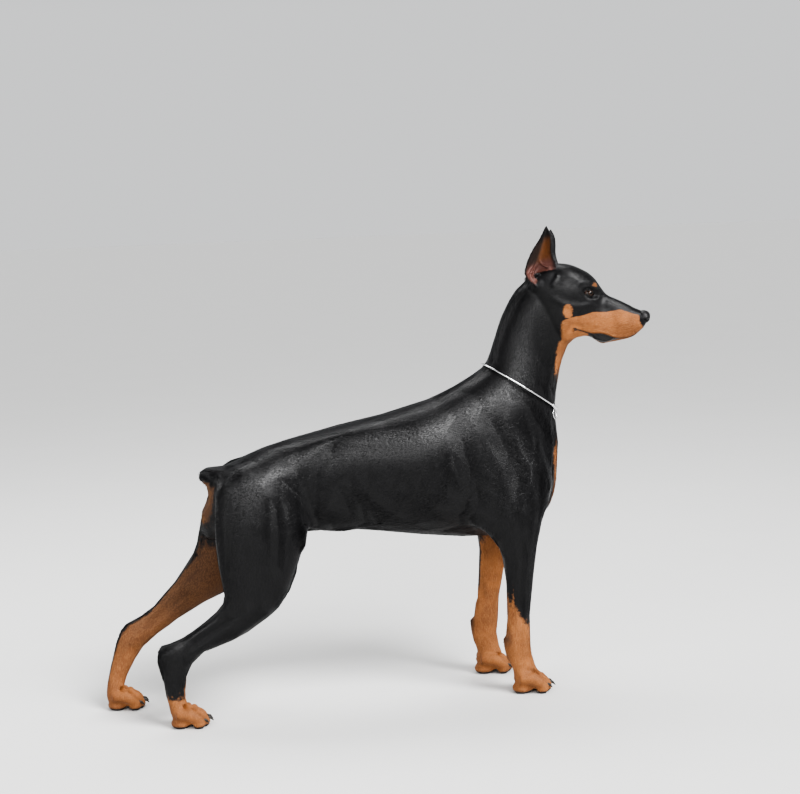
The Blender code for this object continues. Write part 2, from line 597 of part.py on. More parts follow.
def make_ear(side, word, place):
    """A leaf of skin and gristle, rolled round its closed inner back, open outwards."""
    front, back, outer = (smooth_rows(edge, 2) for edge in (EAR_FRONT, EAR_BACK, EAR_OUTER))
    bend = 2 * back - (front + outer) / 2
    across = np.linspace(0, 1, 9)[None, :, None]
    leaf = ((1 - across) ** 2 * front[:, None] + 2 * across * (1 - across) * bend[:, None]
            + across ** 2 * outer[:, None])
    normals = np.cross(np.gradient(leaf, axis=1), np.gradient(leaf, axis=0))
    normals /= np.linalg.norm(normals, axis=2, keepdims=True)
    thickness = np.linspace(EAR_THICKNESS, EAR_RIM, len(leaf))[:, None, None]
    inner = leaf + normals * thickness
    tall = 1.0 if side < 0 else LEFT_EAR_HEIGHT
    root = EAR_OUTER[0][2]
    rings = [[on_head(x, side * y, root + (z - root) * tall) for x, y, z in (*row, *under[::-1])]
             for row, under in zip(leaf, inner)]
    return loft(f"ear_{word}", rings, place, folded=True)


def make_eye(side, word, place):
    forward, out, height = EYE_PLACE
    return ball(f"eye_{word}", on_head(forward, side * out, height), (EYE_RADIUS,) * 3, place)


def make_nose(place):
    """The leather of the nose: a rounded block from a coarse cage."""
    shape = bmesh.new()
    bmesh.ops.create_cube(shape, size=1.0)
    middle = on_head(*NOSE_PLACE)
    tilt = Matrix.Rotation(-HEAD_TURN, 4, "Z") @ Matrix.Rotation(math.radians(14), 4, "Y")
    bmesh.ops.transform(shape, matrix=Matrix.Translation(middle) @ tilt
                        @ Matrix.Diagonal((*NOSE_SIZE, 1.0)), verts=shape.verts)
    nose = add_object("nose", shape, place)
    add_modifier(nose, "SUBSURF", levels=2, render_levels=2)
    apply_modifiers(nose)
    return nose


def make_claws(paw, at, side, scale, place):
    """Four short curved claws, each out of the tip of its toe."""
    claws = []
    for number, toe in enumerate(TOES):
        tip = toe_points(toe, scale)[-1] + Vector((at[0], at[1] * side, 0))
        points = [tip + Vector((0.0060, 0, 0.0050)) * scale]
        for share, drop in ((0.5, 0.0015), (1.0, 0.0085)):
            points.append(points[0] + Vector((CLAW_LENGTH * share, 0, -drop)) * scale)
        radii = [radius * scale for radius in (0.0035, 0.0031, 0.0010)]
        claws.append(tapered_rod(f"claw_{paw}_{number + 1}", points, radii, place, sides=7))
    return claws


def skin_point(hosts, middle, outward):
    """The outermost place on the coat, seen from the middle of the neck."""
    graph = bpy.context.evaluated_depsgraph_get()
    trees = [BVHTree.FromObject(host, graph) for host in hosts]
    hits = [tree.ray_cast(middle + outward * 0.4, -outward)[0] for tree in trees]
    return max((hit for hit in hits if hit), key=lambda hit: (hit - middle).length)


def collar_points(hosts):
    """A ring of points just off the coat of the neck, in the collar's sloping plane."""
    middle = (COLLAR_NAPE + COLLAR_THROAT) / 2
    along = (COLLAR_THROAT - COLLAR_NAPE).normalized()
    points = []
    for i in range(40):
        angle = 2 * math.pi * i / 40
        outward = along * math.cos(angle) + Vector((0, 1, 0)) * math.sin(angle)
        points.append(skin_point(hosts, middle, outward) + outward * (COLLAR_RADIUS + COLLAR_ROOM))
    return points


def cord_loop(name, points, radius, place):
    """A round cord, closed in a loop through the points, as a mesh made from a bevelled curve."""
    curve = bpy.data.curves.new(name, "CURVE")
    curve.dimensions = "3D"
    curve.bevel_depth = radius
    curve.bevel_resolution = 1
    line = curve.splines.new("POLY")
    line.points.add(len(points) - 1)
    for knot, point in zip(line.points, points):
        knot.co = (*point, 1.0)
    line.use_cyclic_u = True
    guide = add_object(f"{name}_guide", curve, place)
    bpy.context.view_layer.update()
    graph = bpy.context.evaluated_depsgraph_get()
    mesh = bpy.data.meshes.new_from_object(guide.evaluated_get(graph))
    bpy.data.objects.remove(guide)
    shape = bmesh.new()
    shape.from_mesh(mesh)
    bmesh.ops.remove_doubles(shape, verts=shape.verts, dist=0.00001)
    bmesh.ops.recalc_face_normals(shape, faces=shape.faces)
    return add_object(name, shape, place)


def make_collar(hosts, place, helpers):
    """A round metal cord closed by a crimped sleeve, with a ring soldered under the sleeve."""
    points = collar_points(hosts)
    before, at, after = (points[(RING_PLACE + i) % len(points)] for i in (-1, 0, 1))
    along = (after - before).normalized()
    centre = (COLLAR_NAPE + COLLAR_THROAT) / 2
    outward = Vector((at.x - centre.x, at.y, 0)).normalized()
    low = skin_point(hosts, Vector((centre.x, 0, at.z - RING_DROP)), outward)
    down = (low + outward * (RING_WIRE + RING_ROOM) - at).normalized()
    down = (down - along * down.dot(along)).normalized()
    middle = at + down * (RING_RADIUS + COLLAR_RADIUS + RING_WIRE)
    loop = [middle + RING_RADIUS * (along * math.cos(angle) - down * math.sin(angle))
            for angle in (2 * math.pi * i / 24 for i in range(24))]
    collar = cord_loop("collar", points, COLLAR_RADIUS, place)
    sleeve = tapered_rod("sleeve", [before, at, after], [SLEEVE_RADIUS] * 3, helpers, sides=16)
    for piece in (sleeve, cord_loop("ring", loop, RING_WIRE, helpers)):
        add_modifier(collar, "BOOLEAN", operation="UNION", object=piece, solver="EXACT")
        apply_modifiers(collar)
    return collar


def main():
    clear_scene()
    parts = collection("doberman")
    helpers = collection("cutters")
    whole = flesh(helpers)
    named = part_flesh(whole, helpers, parts)

    pieces = {"head": []}
    for side, word in ((-1, "right"), (1, "left")):
        pieces["head"] += [make_ear(side, word, parts), make_eye(side, word, parts)]
    pieces["head"].append(make_nose(parts))
    fore_left = (FORE_PAW[0] - LEFT_FORE_SET_BACK, FORE_PAW[1])
    paws = {"foreleg_right": (FORE_PAW, -1, PAW_SCALE_FRONT),
            "foreleg_left": (fore_left, 1, PAW_SCALE_FRONT),
            "hindleg_right": (RIGHT_HIND_PAW, -1, PAW_SCALE_HIND),
            "hindleg_left": (LEFT_HIND_PAW, 1, PAW_SCALE_HIND)}
    for leg, (at, side, scale) in paws.items():
        paw = leg.replace("leg", "")
        pieces[leg] = make_claws(paw, at, side, scale, parts)
    for host, seated in pieces.items():
        for piece in seated:
            subtract(named[host], cutter_for(piece, helpers, GAP))
    make_collar([named["neck"], named["trunk"]], parts, helpers)

    slots = {name: material(name) for name in COLOURS}
    for obj in parts.objects:
        kind = obj.name.split("_")[0]
        slot = {"eye": "eye", "nose": "nose_leather", "claw": "claw",
                "collar": "collar_metal"}.get(kind, "black_coat")
        obj.data.materials.clear()
        obj.data.materials.append(slots[slot])
        obj.data.transform(Matrix.Translation(-ORIGIN))
        obj.data.shade_smooth()
        obj.data.set_sharp_from_angle(angle=math.radians(60))
    for obj in helpers.objects:
        obj.hide_render = True
        obj.hide_viewport = True
        obj.display_type = "WIRE"


main()
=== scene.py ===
"""The finished looks of a standing doberman pinscher bitch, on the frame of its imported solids.

Metres. +X is the way the trunk faces, +Y is the dog's left, +Z is up, and the paws rest at z = 0.
Shapes are made with the mid-plane at y = 0, and shifted onto the frame's origin at the end.
"""
import math

import bmesh
import bpy
from mathutils import Matrix, Vector
from mathutils.bvhtree import BVHTree
from mathutils.kdtree import KDTree
import numpy as np


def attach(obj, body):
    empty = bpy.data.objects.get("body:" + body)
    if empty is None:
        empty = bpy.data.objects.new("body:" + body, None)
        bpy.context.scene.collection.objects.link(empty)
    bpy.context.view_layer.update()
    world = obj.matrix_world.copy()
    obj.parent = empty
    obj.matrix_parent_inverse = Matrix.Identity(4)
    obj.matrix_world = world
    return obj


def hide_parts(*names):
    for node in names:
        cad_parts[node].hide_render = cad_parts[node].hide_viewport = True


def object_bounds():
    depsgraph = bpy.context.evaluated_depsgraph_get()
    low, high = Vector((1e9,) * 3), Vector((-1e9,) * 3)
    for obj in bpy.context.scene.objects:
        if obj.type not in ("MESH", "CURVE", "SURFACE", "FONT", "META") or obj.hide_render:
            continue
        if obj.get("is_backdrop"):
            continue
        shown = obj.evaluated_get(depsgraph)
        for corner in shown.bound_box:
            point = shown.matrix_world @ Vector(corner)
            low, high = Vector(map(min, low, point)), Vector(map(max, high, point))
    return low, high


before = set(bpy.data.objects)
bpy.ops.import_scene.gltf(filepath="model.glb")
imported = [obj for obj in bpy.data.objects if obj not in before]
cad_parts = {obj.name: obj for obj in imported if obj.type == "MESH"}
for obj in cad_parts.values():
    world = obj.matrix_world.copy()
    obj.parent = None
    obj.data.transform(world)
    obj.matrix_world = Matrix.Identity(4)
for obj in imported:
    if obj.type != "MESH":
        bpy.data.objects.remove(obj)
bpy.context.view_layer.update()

# The body under the skin. On the dog it is bone, muscle and fat; here it is the solids' own clay:
# ovals lofted along the trunk, neck, head, legs and tail, with muscles laid over them, all fused
# by a remesh and smoothed.
ORIGIN = Vector((-0.0585, -0.0005, 0.0))     # the frame's origin, in the clay's own coordinates
HEAD_TURN = math.radians(23.0)   # the head looks this far to the dog's right
HEAD_PIVOT_X = 0.285
LEFT_FORE_SET_BACK = 0.040       # the left forepaw stands this far behind the right one
ELBOW_HEIGHT = 0.340
PAW_SCALE_FRONT = 1.0
PAW_SCALE_HIND = 0.93
ROUGH_VOXEL = 0.0065
ROUGH_ROUNDS = 9                 # rounds of smoothing all over the rough body
TRUNK_ROUNDS = 16                # and the further rounds on the trunk
LIMB_TOP = 0.31                  # from here up to TRUNK_LOW the clay gets more and more smoothing
TRUNK_LOW = 0.43
FORE_PAW = (0.2190, 0.078)
RIGHT_HIND_PAW = (-0.4890, 0.078)
LEFT_HIND_PAW = (-0.6080, 0.078)

# A station is an oval between two edges that show in the side view: (edge x, edge z, other edge x,
# other edge z, half width, sideways place, egg shape, squareness). The last three may be left out.
def filled(stations, usual=(0, 0.0, 2.0)):
    """Stations with the values they leave out: in the middle, no egg shape, a plain oval."""
    return [(*row, *usual[len(row) - 5:]) if len(row) < 8 else row for row in stations]


TRUNK = filled([
    (-0.398, 0.470, -0.398, 0.420, 0.030),
    (-0.385, 0.499, -0.392, 0.392, 0.056),
    (-0.350, 0.512, -0.370, 0.372, 0.072, 0, 0.0, 2.1),
    (-0.300, 0.535, -0.315, 0.366, 0.080, 0, 0.0, 2.2),
    (-0.240, 0.553, -0.245, 0.362, 0.073, 0, 0.05, 2.3),
    (-0.175, 0.566, -0.170, 0.360, 0.070, 0, 0.08, 2.3),
    (-0.110, 0.579, -0.105, 0.357, 0.077, 0, 0.10, 2.25),
    (-0.045, 0.592, -0.045, 0.348, 0.090, 0, 0.10, 2.15),
    (0.020, 0.607, 0.015, 0.338, 0.1005, 0, 0.08, 2.1),
    (0.075, 0.623, 0.070, 0.330, 0.103, 0, 0.05),
    (0.130, 0.647, 0.125, 0.323, 0.099, 0, 0.02, 1.95),
    (0.170, 0.655, 0.180, 0.321, 0.092, 0, 0.0, 1.95),
    (0.215, 0.640, 0.240, 0.328, 0.083),
    (0.255, 0.615, 0.285, 0.345, 0.072),
    (0.295, 0.575, 0.317, 0.382, 0.057),
    (0.318, 0.530, 0.327, 0.430, 0.036),
    (0.329, 0.497, 0.332, 0.468, 0.012),
])

# The last value of a neck station is its share of the head's turn.
NECK = [
    (0.334, 0.470, 0.080, 0.625, 0.078, 0, 0.0, 2.0, 0.00),
    (0.336, 0.520, 0.138, 0.654, 0.076, 0, 0.0, 2.0, 0.00),
    (0.331, 0.566, 0.168, 0.671, 0.069, 0, 0.0, 2.0, 0.00),
    (0.331, 0.600, 0.184, 0.684, 0.062, 0, 0.0, 2.0, 0.05),
    (0.338, 0.634, 0.196, 0.709, 0.057, 0, 0.0, 2.0, 0.15),
    (0.343, 0.664, 0.208, 0.743, 0.053, 0, 0.0, 2.1, 0.35),
    (0.351, 0.690, 0.221, 0.779, 0.051, 0, 0.0, 2.1, 0.60),
    (0.361, 0.713, 0.239, 0.814, 0.049, 0, 0.0, 2.1, 0.85),
    (0.372, 0.738, 0.262, 0.845, 0.046, 0, 0.0, 2.1, 1.00),
    (0.390, 0.765, 0.290, 0.865, 0.038, 0, 0.0, 2.1, 1.00),
]

# The head's x is measured forward from its pivot, and turned afterwards.
HEAD = filled([
    (-0.012, 0.858, 0.012, 0.810, 0.022),
    (0.002, 0.872, 0.030, 0.765, 0.038, 0, 0.0, 2.2),
    (0.026, 0.883, 0.052, 0.728, 0.0475, 0, 0.06, 2.4),
    (0.052, 0.8865, 0.072, 0.716, 0.0515, 0, 0.10, 2.5),
    (0.078, 0.8840, 0.090, 0.7285, 0.0515, 0, 0.12, 2.5),
    (0.100, 0.8760, 0.106, 0.7335, 0.0480, 0, 0.12, 2.5),
    (0.120, 0.8650, 0.120, 0.7320, 0.0415, 0, 0.12, 2.5),
    (0.134, 0.8520, 0.132, 0.7240, 0.0355, 0, 0.08, 2.5),
    (0.146, 0.8340, 0.145, 0.7175, 0.0315, 0, 0.04, 2.5),
    (0.158, 0.8190, 0.158, 0.7195, 0.0292, 0, 0.04, 2.6),
    (0.185, 0.8055, 0.183, 0.7235, 0.0268, 0, 0.06, 2.7),
    (0.210, 0.7925, 0.207, 0.7300, 0.0245, 0, 0.06, 2.7),
    (0.227, 0.7850, 0.223, 0.7420, 0.0205, 0, 0.04, 2.6),
    (0.236, 0.7790, 0.233, 0.7520, 0.0150, 0, 0.0, 2.4),
    (0.240, 0.7700, 0.239, 0.7620, 0.0060),
])

FORELEG = filled([
    (0.285, 0.510, 0.160, 0.520, 0.024, 0.060),
    (0.298, 0.450, 0.155, 0.450, 0.031, 0.072),
    (0.290, 0.400, 0.160, 0.378, 0.033, 0.081),
    (0.273, 0.357, 0.164, 0.342, 0.031, 0.084),
    (0.263, 0.318, 0.177, 0.313, 0.0275, 0.084),
    (0.257, 0.280, 0.186, 0.280, 0.0242, 0.084),
    (0.252, 0.245, 0.189, 0.245, 0.0215, 0.084),
    (0.248, 0.205, 0.1905, 0.205, 0.0192, 0.083),
    (0.2445, 0.168, 0.191, 0.170, 0.0185, 0.082),
    (0.2430, 0.140, 0.1885, 0.142, 0.0205, 0.081),
    (0.2435, 0.112, 0.1875, 0.106, 0.0202, 0.080),
    (0.2455, 0.088, 0.188, 0.078, 0.0185, 0.079),
    (0.2520, 0.062, 0.199, 0.055, 0.0190, 0.078, 0.0, 2.1),
    (0.2580, 0.046, 0.204, 0.036, 0.0220, 0.078, 0.0, 2.2),
    (0.2580, 0.034, 0.206, 0.020, 0.0225, 0.078, 0.0, 2.2),
    (0.2520, 0.020, 0.212, 0.010, 0.0200, 0.078, 0.0, 2.2),
])
# Both hind legs have the same cross-sections, set on different edges.
HIND_SECTIONS = [
    (0.026, 0.036),
    (0.034, 0.052),
    (0.041, 0.058),
    (0.043, 0.063),
    (0.040, 0.067),
    (0.036, 0.071),
    (0.033, 0.074),
    (0.030, 0.076),
    (0.028, 0.077),
    (0.0255, 0.078),
    (0.0225, 0.079),
    (0.0195, 0.079),
    (0.0175, 0.079),
    (0.0180, 0.079, 0.0, 2.1),
    (0.0180, 0.079, 0.0, 2.1),
    (0.0165, 0.078, 0.0, 2.1),
    (0.0155, 0.078, 0.0, 2.1),
    (0.0165, 0.078, 0.0, 2.1),
    (0.0200, 0.078, 0.0, 2.1),
    (0.0190, 0.078, 0.0, 2.1),
]
RIGHT_HIND_LEG = filled([(*edges, *section) for edges, section in zip([
    (-0.255, 0.515, -0.335, 0.520),
    (-0.232, 0.470, -0.372, 0.500),
    (-0.213, 0.420, -0.392, 0.455),
    (-0.210, 0.378, -0.400, 0.410),
    (-0.222, 0.340, -0.401, 0.365),
    (-0.237, 0.305, -0.398, 0.325),
    (-0.251, 0.270, -0.394, 0.294),
    (-0.267, 0.240, -0.390, 0.270),
    (-0.290, 0.215, -0.389, 0.252),
    (-0.320, 0.195, -0.398, 0.238),
    (-0.355, 0.174, -0.420, 0.219),
    (-0.393, 0.160, -0.447, 0.201),
    (-0.426, 0.150, -0.480, 0.182),
    (-0.449, 0.133, -0.514, 0.170),
    (-0.462, 0.113, -0.529, 0.150),
    (-0.467, 0.092, -0.525, 0.122),
    (-0.471, 0.072, -0.518, 0.092),
    (-0.470, 0.052, -0.513, 0.060),
    (-0.460, 0.038, -0.508, 0.034),
    (-0.460, 0.022, -0.502, 0.011),
], HIND_SECTIONS)])
LEFT_HIND_LEG = filled([(*edges, *section) for edges, section in zip([
    (-0.255, 0.515, -0.335, 0.520),
    (-0.235, 0.470, -0.372, 0.500),
    (-0.222, 0.420, -0.394, 0.455),
    (-0.232, 0.378, -0.411, 0.412),
    (-0.255, 0.340, -0.421, 0.372),
    (-0.283, 0.303, -0.427, 0.340),
    (-0.308, 0.270, -0.437, 0.315),
    (-0.332, 0.247, -0.449, 0.297),
    (-0.358, 0.234, -0.463, 0.278),
    (-0.387, 0.221, -0.479, 0.257),
    (-0.420, 0.206, -0.499, 0.236),
    (-0.455, 0.187, -0.521, 0.214),
    (-0.493, 0.163, -0.548, 0.195),
    (-0.530, 0.138, -0.578, 0.178),
    (-0.552, 0.117, -0.598, 0.153),
    (-0.565, 0.095, -0.607, 0.123),
    (-0.578, 0.072, -0.617, 0.090),
    (-0.586, 0.050, -0.625, 0.058),
    (-0.583, 0.036, -0.629, 0.032),
    (-0.583, 0.022, -0.624, 0.011),
], HIND_SECTIONS)])
TAIL = filled([
    (-0.325, 0.514, -0.345, 0.460, 0.030),
    (-0.362, 0.513, -0.370, 0.463, 0.026),
    (-0.394, 0.513, -0.396, 0.467, 0.0220),
    (-0.414, 0.510, -0.411, 0.470, 0.0190),
    (-0.425, 0.500, -0.423, 0.480, 0.0120),
])

MUSCLES = {
    "shoulder_blade": ((0.150, 0.612, 0.040), (0.270, 0.425, 0.070), 0.058, 0.022),
    "upper_arm": ((0.285, 0.450, 0.066), (0.205, 0.340, 0.084), 0.038, 0.029),
    "triceps": ((0.110, 0.510, 0.066), (0.185, 0.335, 0.082), 0.046, 0.025),
    "breast": ((0.296, 0.490, 0.034), (0.272, 0.380, 0.040), 0.034, 0.030),
    "rump": ((-0.345, 0.462, 0.044), (-0.215, 0.505, 0.044), 0.040, 0.036),
    "outer_thigh": ((-0.300, 0.500, 0.060), (-0.300, 0.290, 0.070), 0.068, 0.035),
    "hamstring": ((-0.360, 0.475, 0.056), (-0.368, 0.290, 0.068), 0.030, 0.028),
    "loin": ((-0.230, 0.528, 0.034), (0.020, 0.573, 0.036), 0.026, 0.028),
}

# A paw's four toes, in the paw's own frame: sideways, and how far forward each reaches.
TOES = [(-0.0212, 0.044), (-0.0076, 0.055), (0.0076, 0.055), (0.0212, 0.044)]

for unwanted in ("Cube", "Light", "Camera"):
    if unwanted in bpy.data.objects:
        bpy.data.objects.remove(bpy.data.objects[unwanted])
shop = bpy.data.collections.new("doberman looks")
bpy.context.scene.collection.children.link(shop)


def add_object(name, shape):
    """A new object from a bmesh or a mesh."""
    mesh = shape
    if isinstance(shape, bmesh.types.BMesh):
        mesh = bpy.data.meshes.new(name)
        shape.to_mesh(mesh)
        shape.free()
    obj = bpy.data.objects.new(name, mesh)
    shop.objects.link(obj)
    return obj


def add_modifier(obj, kind, **settings):
    """A new modifier with its settings."""
    modifier = obj.modifiers.new(kind.lower(), kind)
    for setting, value in settings.items():
        setattr(modifier, setting, value)
    return modifier


def apply_modifiers(obj):
    """Replaces the object's mesh with the one that its modifiers give."""
    bpy.context.view_layer.update()
    graph = bpy.context.evaluated_depsgraph_get()
    made = bpy.data.meshes.new_from_object(obj.evaluated_get(graph))
    old = obj.data
    obj.modifiers.clear()
    obj.data = made
    bpy.data.meshes.remove(old)


def smooth_rows(rows, steps):
    """More rows between the given ones, on a smooth curve through them."""
    rows = np.array(rows, float)
    ends = np.vstack([2 * rows[0] - rows[1], rows, 2 * rows[-1] - rows[-2]])
    finer = []
    for before, start, end, after in zip(ends, ends[1:], ends[2:], ends[3:]):
        for t in np.arange(steps) / steps:
            curve = 2 * start + (end - before) * t
            curve = curve + (2 * before - 5 * start + 4 * end - after) * t ** 2
            curve = curve + (3 * start - before - 3 * end + after) * t ** 3
            finer.append(curve / 2)
    return np.array(finer + [rows[-1]])


def turned(point, share=1.0):
    """The point after the head's turn, or a share of it, about the pivot line."""
    angle = -HEAD_TURN * share
    x = point[0] - HEAD_PIVOT_X
    y = point[1]
    return Vector((HEAD_PIVOT_X + x * math.cos(angle) - y * math.sin(angle),
                   x * math.sin(angle) + y * math.cos(angle), point[2]))


def on_head(forward, out, height):
    """A place given in the head's own frame."""
    return turned((HEAD_PIVOT_X + forward, out, height))


STATION_STEPS = 8       # rings for each station of the body
RING_POINTS = 72
SKULL_STEPS = 6
SKULL_POINTS = 48


def oval(station, points):
    """The ring of points of one station."""
    x1, z1, x2, z2, half_width, sideways, egg, square = station[:8]
    middle = Vector(((x1 + x2) / 2, sideways, (z1 + z2) / 2))
    reach = Vector(((x1 - x2) / 2, 0.0, (z1 - z2) / 2))
    ring = []
    for i in range(points):
        angle = 2 * math.pi * i / points
        along = math.copysign(abs(math.cos(angle)) ** (2 / square), math.cos(angle))
        across = math.copysign(abs(math.sin(angle)) ** (2 / square), math.sin(angle))
        aside = Vector((0, half_width * across * (1 + egg * along), 0))
        ring.append(middle + reach * along + aside)
    return ring


def loft(name, rings, folded=False):
    """A closed tube through the rings. A fan closes each end, or a strip where rings are folded."""
    shape = bmesh.new()
    rows = [[shape.verts.new(point) for point in ring] for ring in rings]
    count = len(rows[0])
    for lower, upper in zip(rows, rows[1:]):
        for i in range(count):
            j = (i + 1) % count
            shape.faces.new((lower[i], lower[j], upper[j], upper[i]))
    for row in (rows[0], rows[-1]):
        if folded:
            for i in range(count // 2 - 1):
                shape.faces.new((row[i], row[i + 1], row[count - 2 - i], row[count - 1 - i]))
            continue
        middle = sum((vert.co for vert in row), Vector()) / count
        hub = shape.verts.new(middle)
        for i in range(count):
            shape.faces.new((row[i], row[(i + 1) % count], hub))
    bmesh.ops.recalc_face_normals(shape, faces=shape.faces)
    return add_object(name, shape)


def body_loft(name, stations, side=0, lean=None):
    """A loft from stations, mirrored to one side of the body, and leant if told."""
    rings = []
    for station in smooth_rows(stations, STATION_STEPS):
        ring = oval(station, RING_POINTS)
        if len(station) == 9:        # a neck station, with its share of the head's turn
            ring = [turned(point, station[8]) for point in ring]
        if side:
            ring = [Vector((point.x, point.y * side, point.z)) for point in ring]
        if lean:
            ring = [lean(point) for point in ring]
        rings.append(ring)
    return loft(name, rings)


def muscle(name, start, end, half_depth, half_width, side):
    """An ellipsoid laid along a line beside the mid-plane."""
    start = Vector((start[0], side * start[2], start[1]))
    end = Vector((end[0], side * end[2], end[1]))
    shape = bmesh.new()
    bmesh.ops.create_uvsphere(shape, u_segments=80, v_segments=48, radius=1.0)
    along = (end - start).normalized()
    turn = along.to_track_quat("Z", "Y").to_matrix().to_4x4()
    sizes = Matrix.Diagonal((half_depth, half_width, (end - start).length / 2, 1.0))
    across = turn @ Vector((1, 0, 0))
    if abs(across.y) > 0.5:      # the ball's first axis has ended up sideways
        sizes = Matrix.Diagonal((half_width, half_depth, (end - start).length / 2, 1.0))
    bmesh.ops.transform(shape, matrix=Matrix.Translation((start + end) / 2) @ turn @ sizes,
                        verts=shape.verts)
    return add_object(name, shape)


def ball(name, middle, radii):
    """An ellipsoid of clay."""
    shape = bmesh.new()
    bmesh.ops.create_uvsphere(shape, u_segments=40, v_segments=24, radius=1.0)
    bmesh.ops.transform(shape, matrix=Matrix.Translation(middle) @ Matrix.Diagonal((*radii, 1.0)),
                        verts=shape.verts)
    return add_object(name, shape)


def tapered_rod(name, points, radii, sides=20):
    """A round rod through points, each with its own radius."""
    rings = []
    points = [Vector(point) for point in points]
    for i, (point, radius) in enumerate(zip(points, radii)):
        ahead = points[min(i + 1, len(points) - 1)] - points[max(i - 1, 0)]
        turn = ahead.to_track_quat("Z", "Y")
        rings.append([point + turn @ Vector((radius * math.cos(angle), radius * math.sin(angle), 0))
                      for angle in (2 * math.pi * k / sides for k in range(sides))])
    return loft(name, rings)


def toe_points(toe, scale):
    """Root, knuckle, bend and tip of a toe in the paw's frame."""
    sideways, reach = toe
    return [Vector((-0.006, sideways * 0.60, 0.034)) * scale,
            Vector((reach - 0.026, sideways * 0.92, 0.0330)) * scale,
            Vector((reach - 0.009, sideways, 0.0245)) * scale,
            Vector((reach, sideways, 0.0140)) * scale]


def paw_clay(name, at, side, scale):
    """The toes and pads of one paw."""
    origin = Vector((at[0], at[1] * side, 0))
    made = []
    for number, toe in enumerate(TOES):
        points = [origin + point for point in toe_points(toe, scale)]
        radii = [radius * scale for radius in (0.0130, 0.0138, 0.0130, 0.0106)]
        made.append(tapered_rod(f"{name}_toe_{number}", points, radii))
        made.append(ball(f"{name}_tip_{number}", points[-1],
                         (0.0118 * scale, 0.0104 * scale, 0.0112 * scale)))
        made.append(ball(f"{name}_pad_{number}", points[-1] + Vector((-0.003, 0, -0.0060)) * scale,
                         (0.0125 * scale, 0.0090 * scale, 0.0108 * scale)))
    made.append(ball(f"{name}_big_pad", origin + Vector((0.004, 0, 0.0110)) * scale,
                     (0.0215 * scale, 0.0215 * scale, 0.0145 * scale)))
    made.append(ball(f"{name}_arch", origin + Vector((0.012, 0, 0.030)) * scale,
                     (0.0270 * scale, 0.0235 * scale, 0.0150 * scale)))
    made.append(ball(f"{name}_web", origin + Vector((0.024, 0, 0.0195)) * scale,
                     (0.0200 * scale, 0.0240 * scale, 0.0130 * scale)))
    return made


def fuse(name, pieces, voxel, smoothing):
    """One closed body from overlapping pieces: a voxel remesh and then a smooth."""
    shape = bmesh.new()
    for piece in pieces:
        shape.from_mesh(piece.data)
        bpy.data.objects.remove(piece)
    fused = add_object(name, shape)
    add_modifier(fused, "REMESH", mode="VOXEL", voxel_size=voxel)
    add_modifier(fused, "SMOOTH", factor=0.5, iterations=smoothing)
    apply_modifiers(fused)
    return fused


def soften_trunk(obj, rounds):
    """Smooths the trunk further, where muscles meet, and leaves the slim limbs and head alone."""
    group = obj.vertex_groups.new(name="trunk")
    for vert in obj.data.vertices:
        rise = (vert.co.z - LIMB_TOP) / (TRUNK_LOW - LIMB_TOP)
        group.add([vert.index], min(1.0, max(0.0, rise)), "REPLACE")
    add_modifier(obj, "SMOOTH", factor=0.5, iterations=rounds, vertex_group=group.name)
    apply_modifiers(obj)
    obj.vertex_groups.clear()


def left_lean(point):
    """Sets the left foreleg back, by more and more from the elbow down."""
    share = max(0.0, 1.0 - point.z / ELBOW_HEIGHT)
    return Vector((point.x - LEFT_FORE_SET_BACK * share, point.y, point.z))


masses = [body_loft("trunk_mass", TRUNK),
          body_loft("neck_mass", NECK),
          body_loft("tail_mass", TAIL),
          body_loft("foreleg_mass_right", FORELEG, side=-1),
          body_loft("foreleg_mass_left", FORELEG, side=1, lean=left_lean),
          body_loft("hindleg_mass_right", RIGHT_HIND_LEG, side=-1),
          body_loft("hindleg_mass_left", LEFT_HIND_LEG, side=1),
          ball("under_tail", (-0.387, 0, 0.402), (0.0350, 0.033, 0.049))]
for side in (-1, 1):
    for name, (start, end, depth, width) in MUSCLES.items():
        masses.append(muscle(name, start, end, depth, width, side))
rough = fuse("rough_body", masses, ROUGH_VOXEL, ROUGH_ROUNDS)
soften_trunk(rough, TRUNK_ROUNDS)
add_modifier(rough, "SUBSURF", levels=1, render_levels=1)
apply_modifiers(rough)

# Ears, cropped and standing: a leaf of gristle between two skins, rolled round its closed inner
# back and open outwards, with the folds of the ear's floor low inside. Each edge runs from the
# root up to the tip, as (forward of the head's pivot, out from the mid-plane, height).
EAR_FRONT = [(0.060, 0.028, 0.873), (0.056, 0.036, 0.890), (0.051, 0.044, 0.908),
             (0.051, 0.048, 0.930), (0.049, 0.049, 0.948), (0.0425, 0.047, 0.9630)]
EAR_BACK = [(0.012, 0.026, 0.856), (0.012, 0.022, 0.876), (0.018, 0.025, 0.898),
            (0.027, 0.032, 0.923), (0.034, 0.039, 0.945), (0.0400, 0.045, 0.9650)]
EAR_OUTER = [(0.024, 0.044, 0.834), (-0.004, 0.058, 0.860), (-0.002, 0.060, 0.888),
             (0.010, 0.056, 0.915), (0.025, 0.051, 0.939), (0.0370, 0.048, 0.9630)]
EAR_THICKNESS = 0.0038      # at the root; it thins to EAR_TIP at the tip
EAR_TIP = 0.0030
LEFT_EAR_HEIGHT = 0.93      # the left ear stands this much as tall as the right one
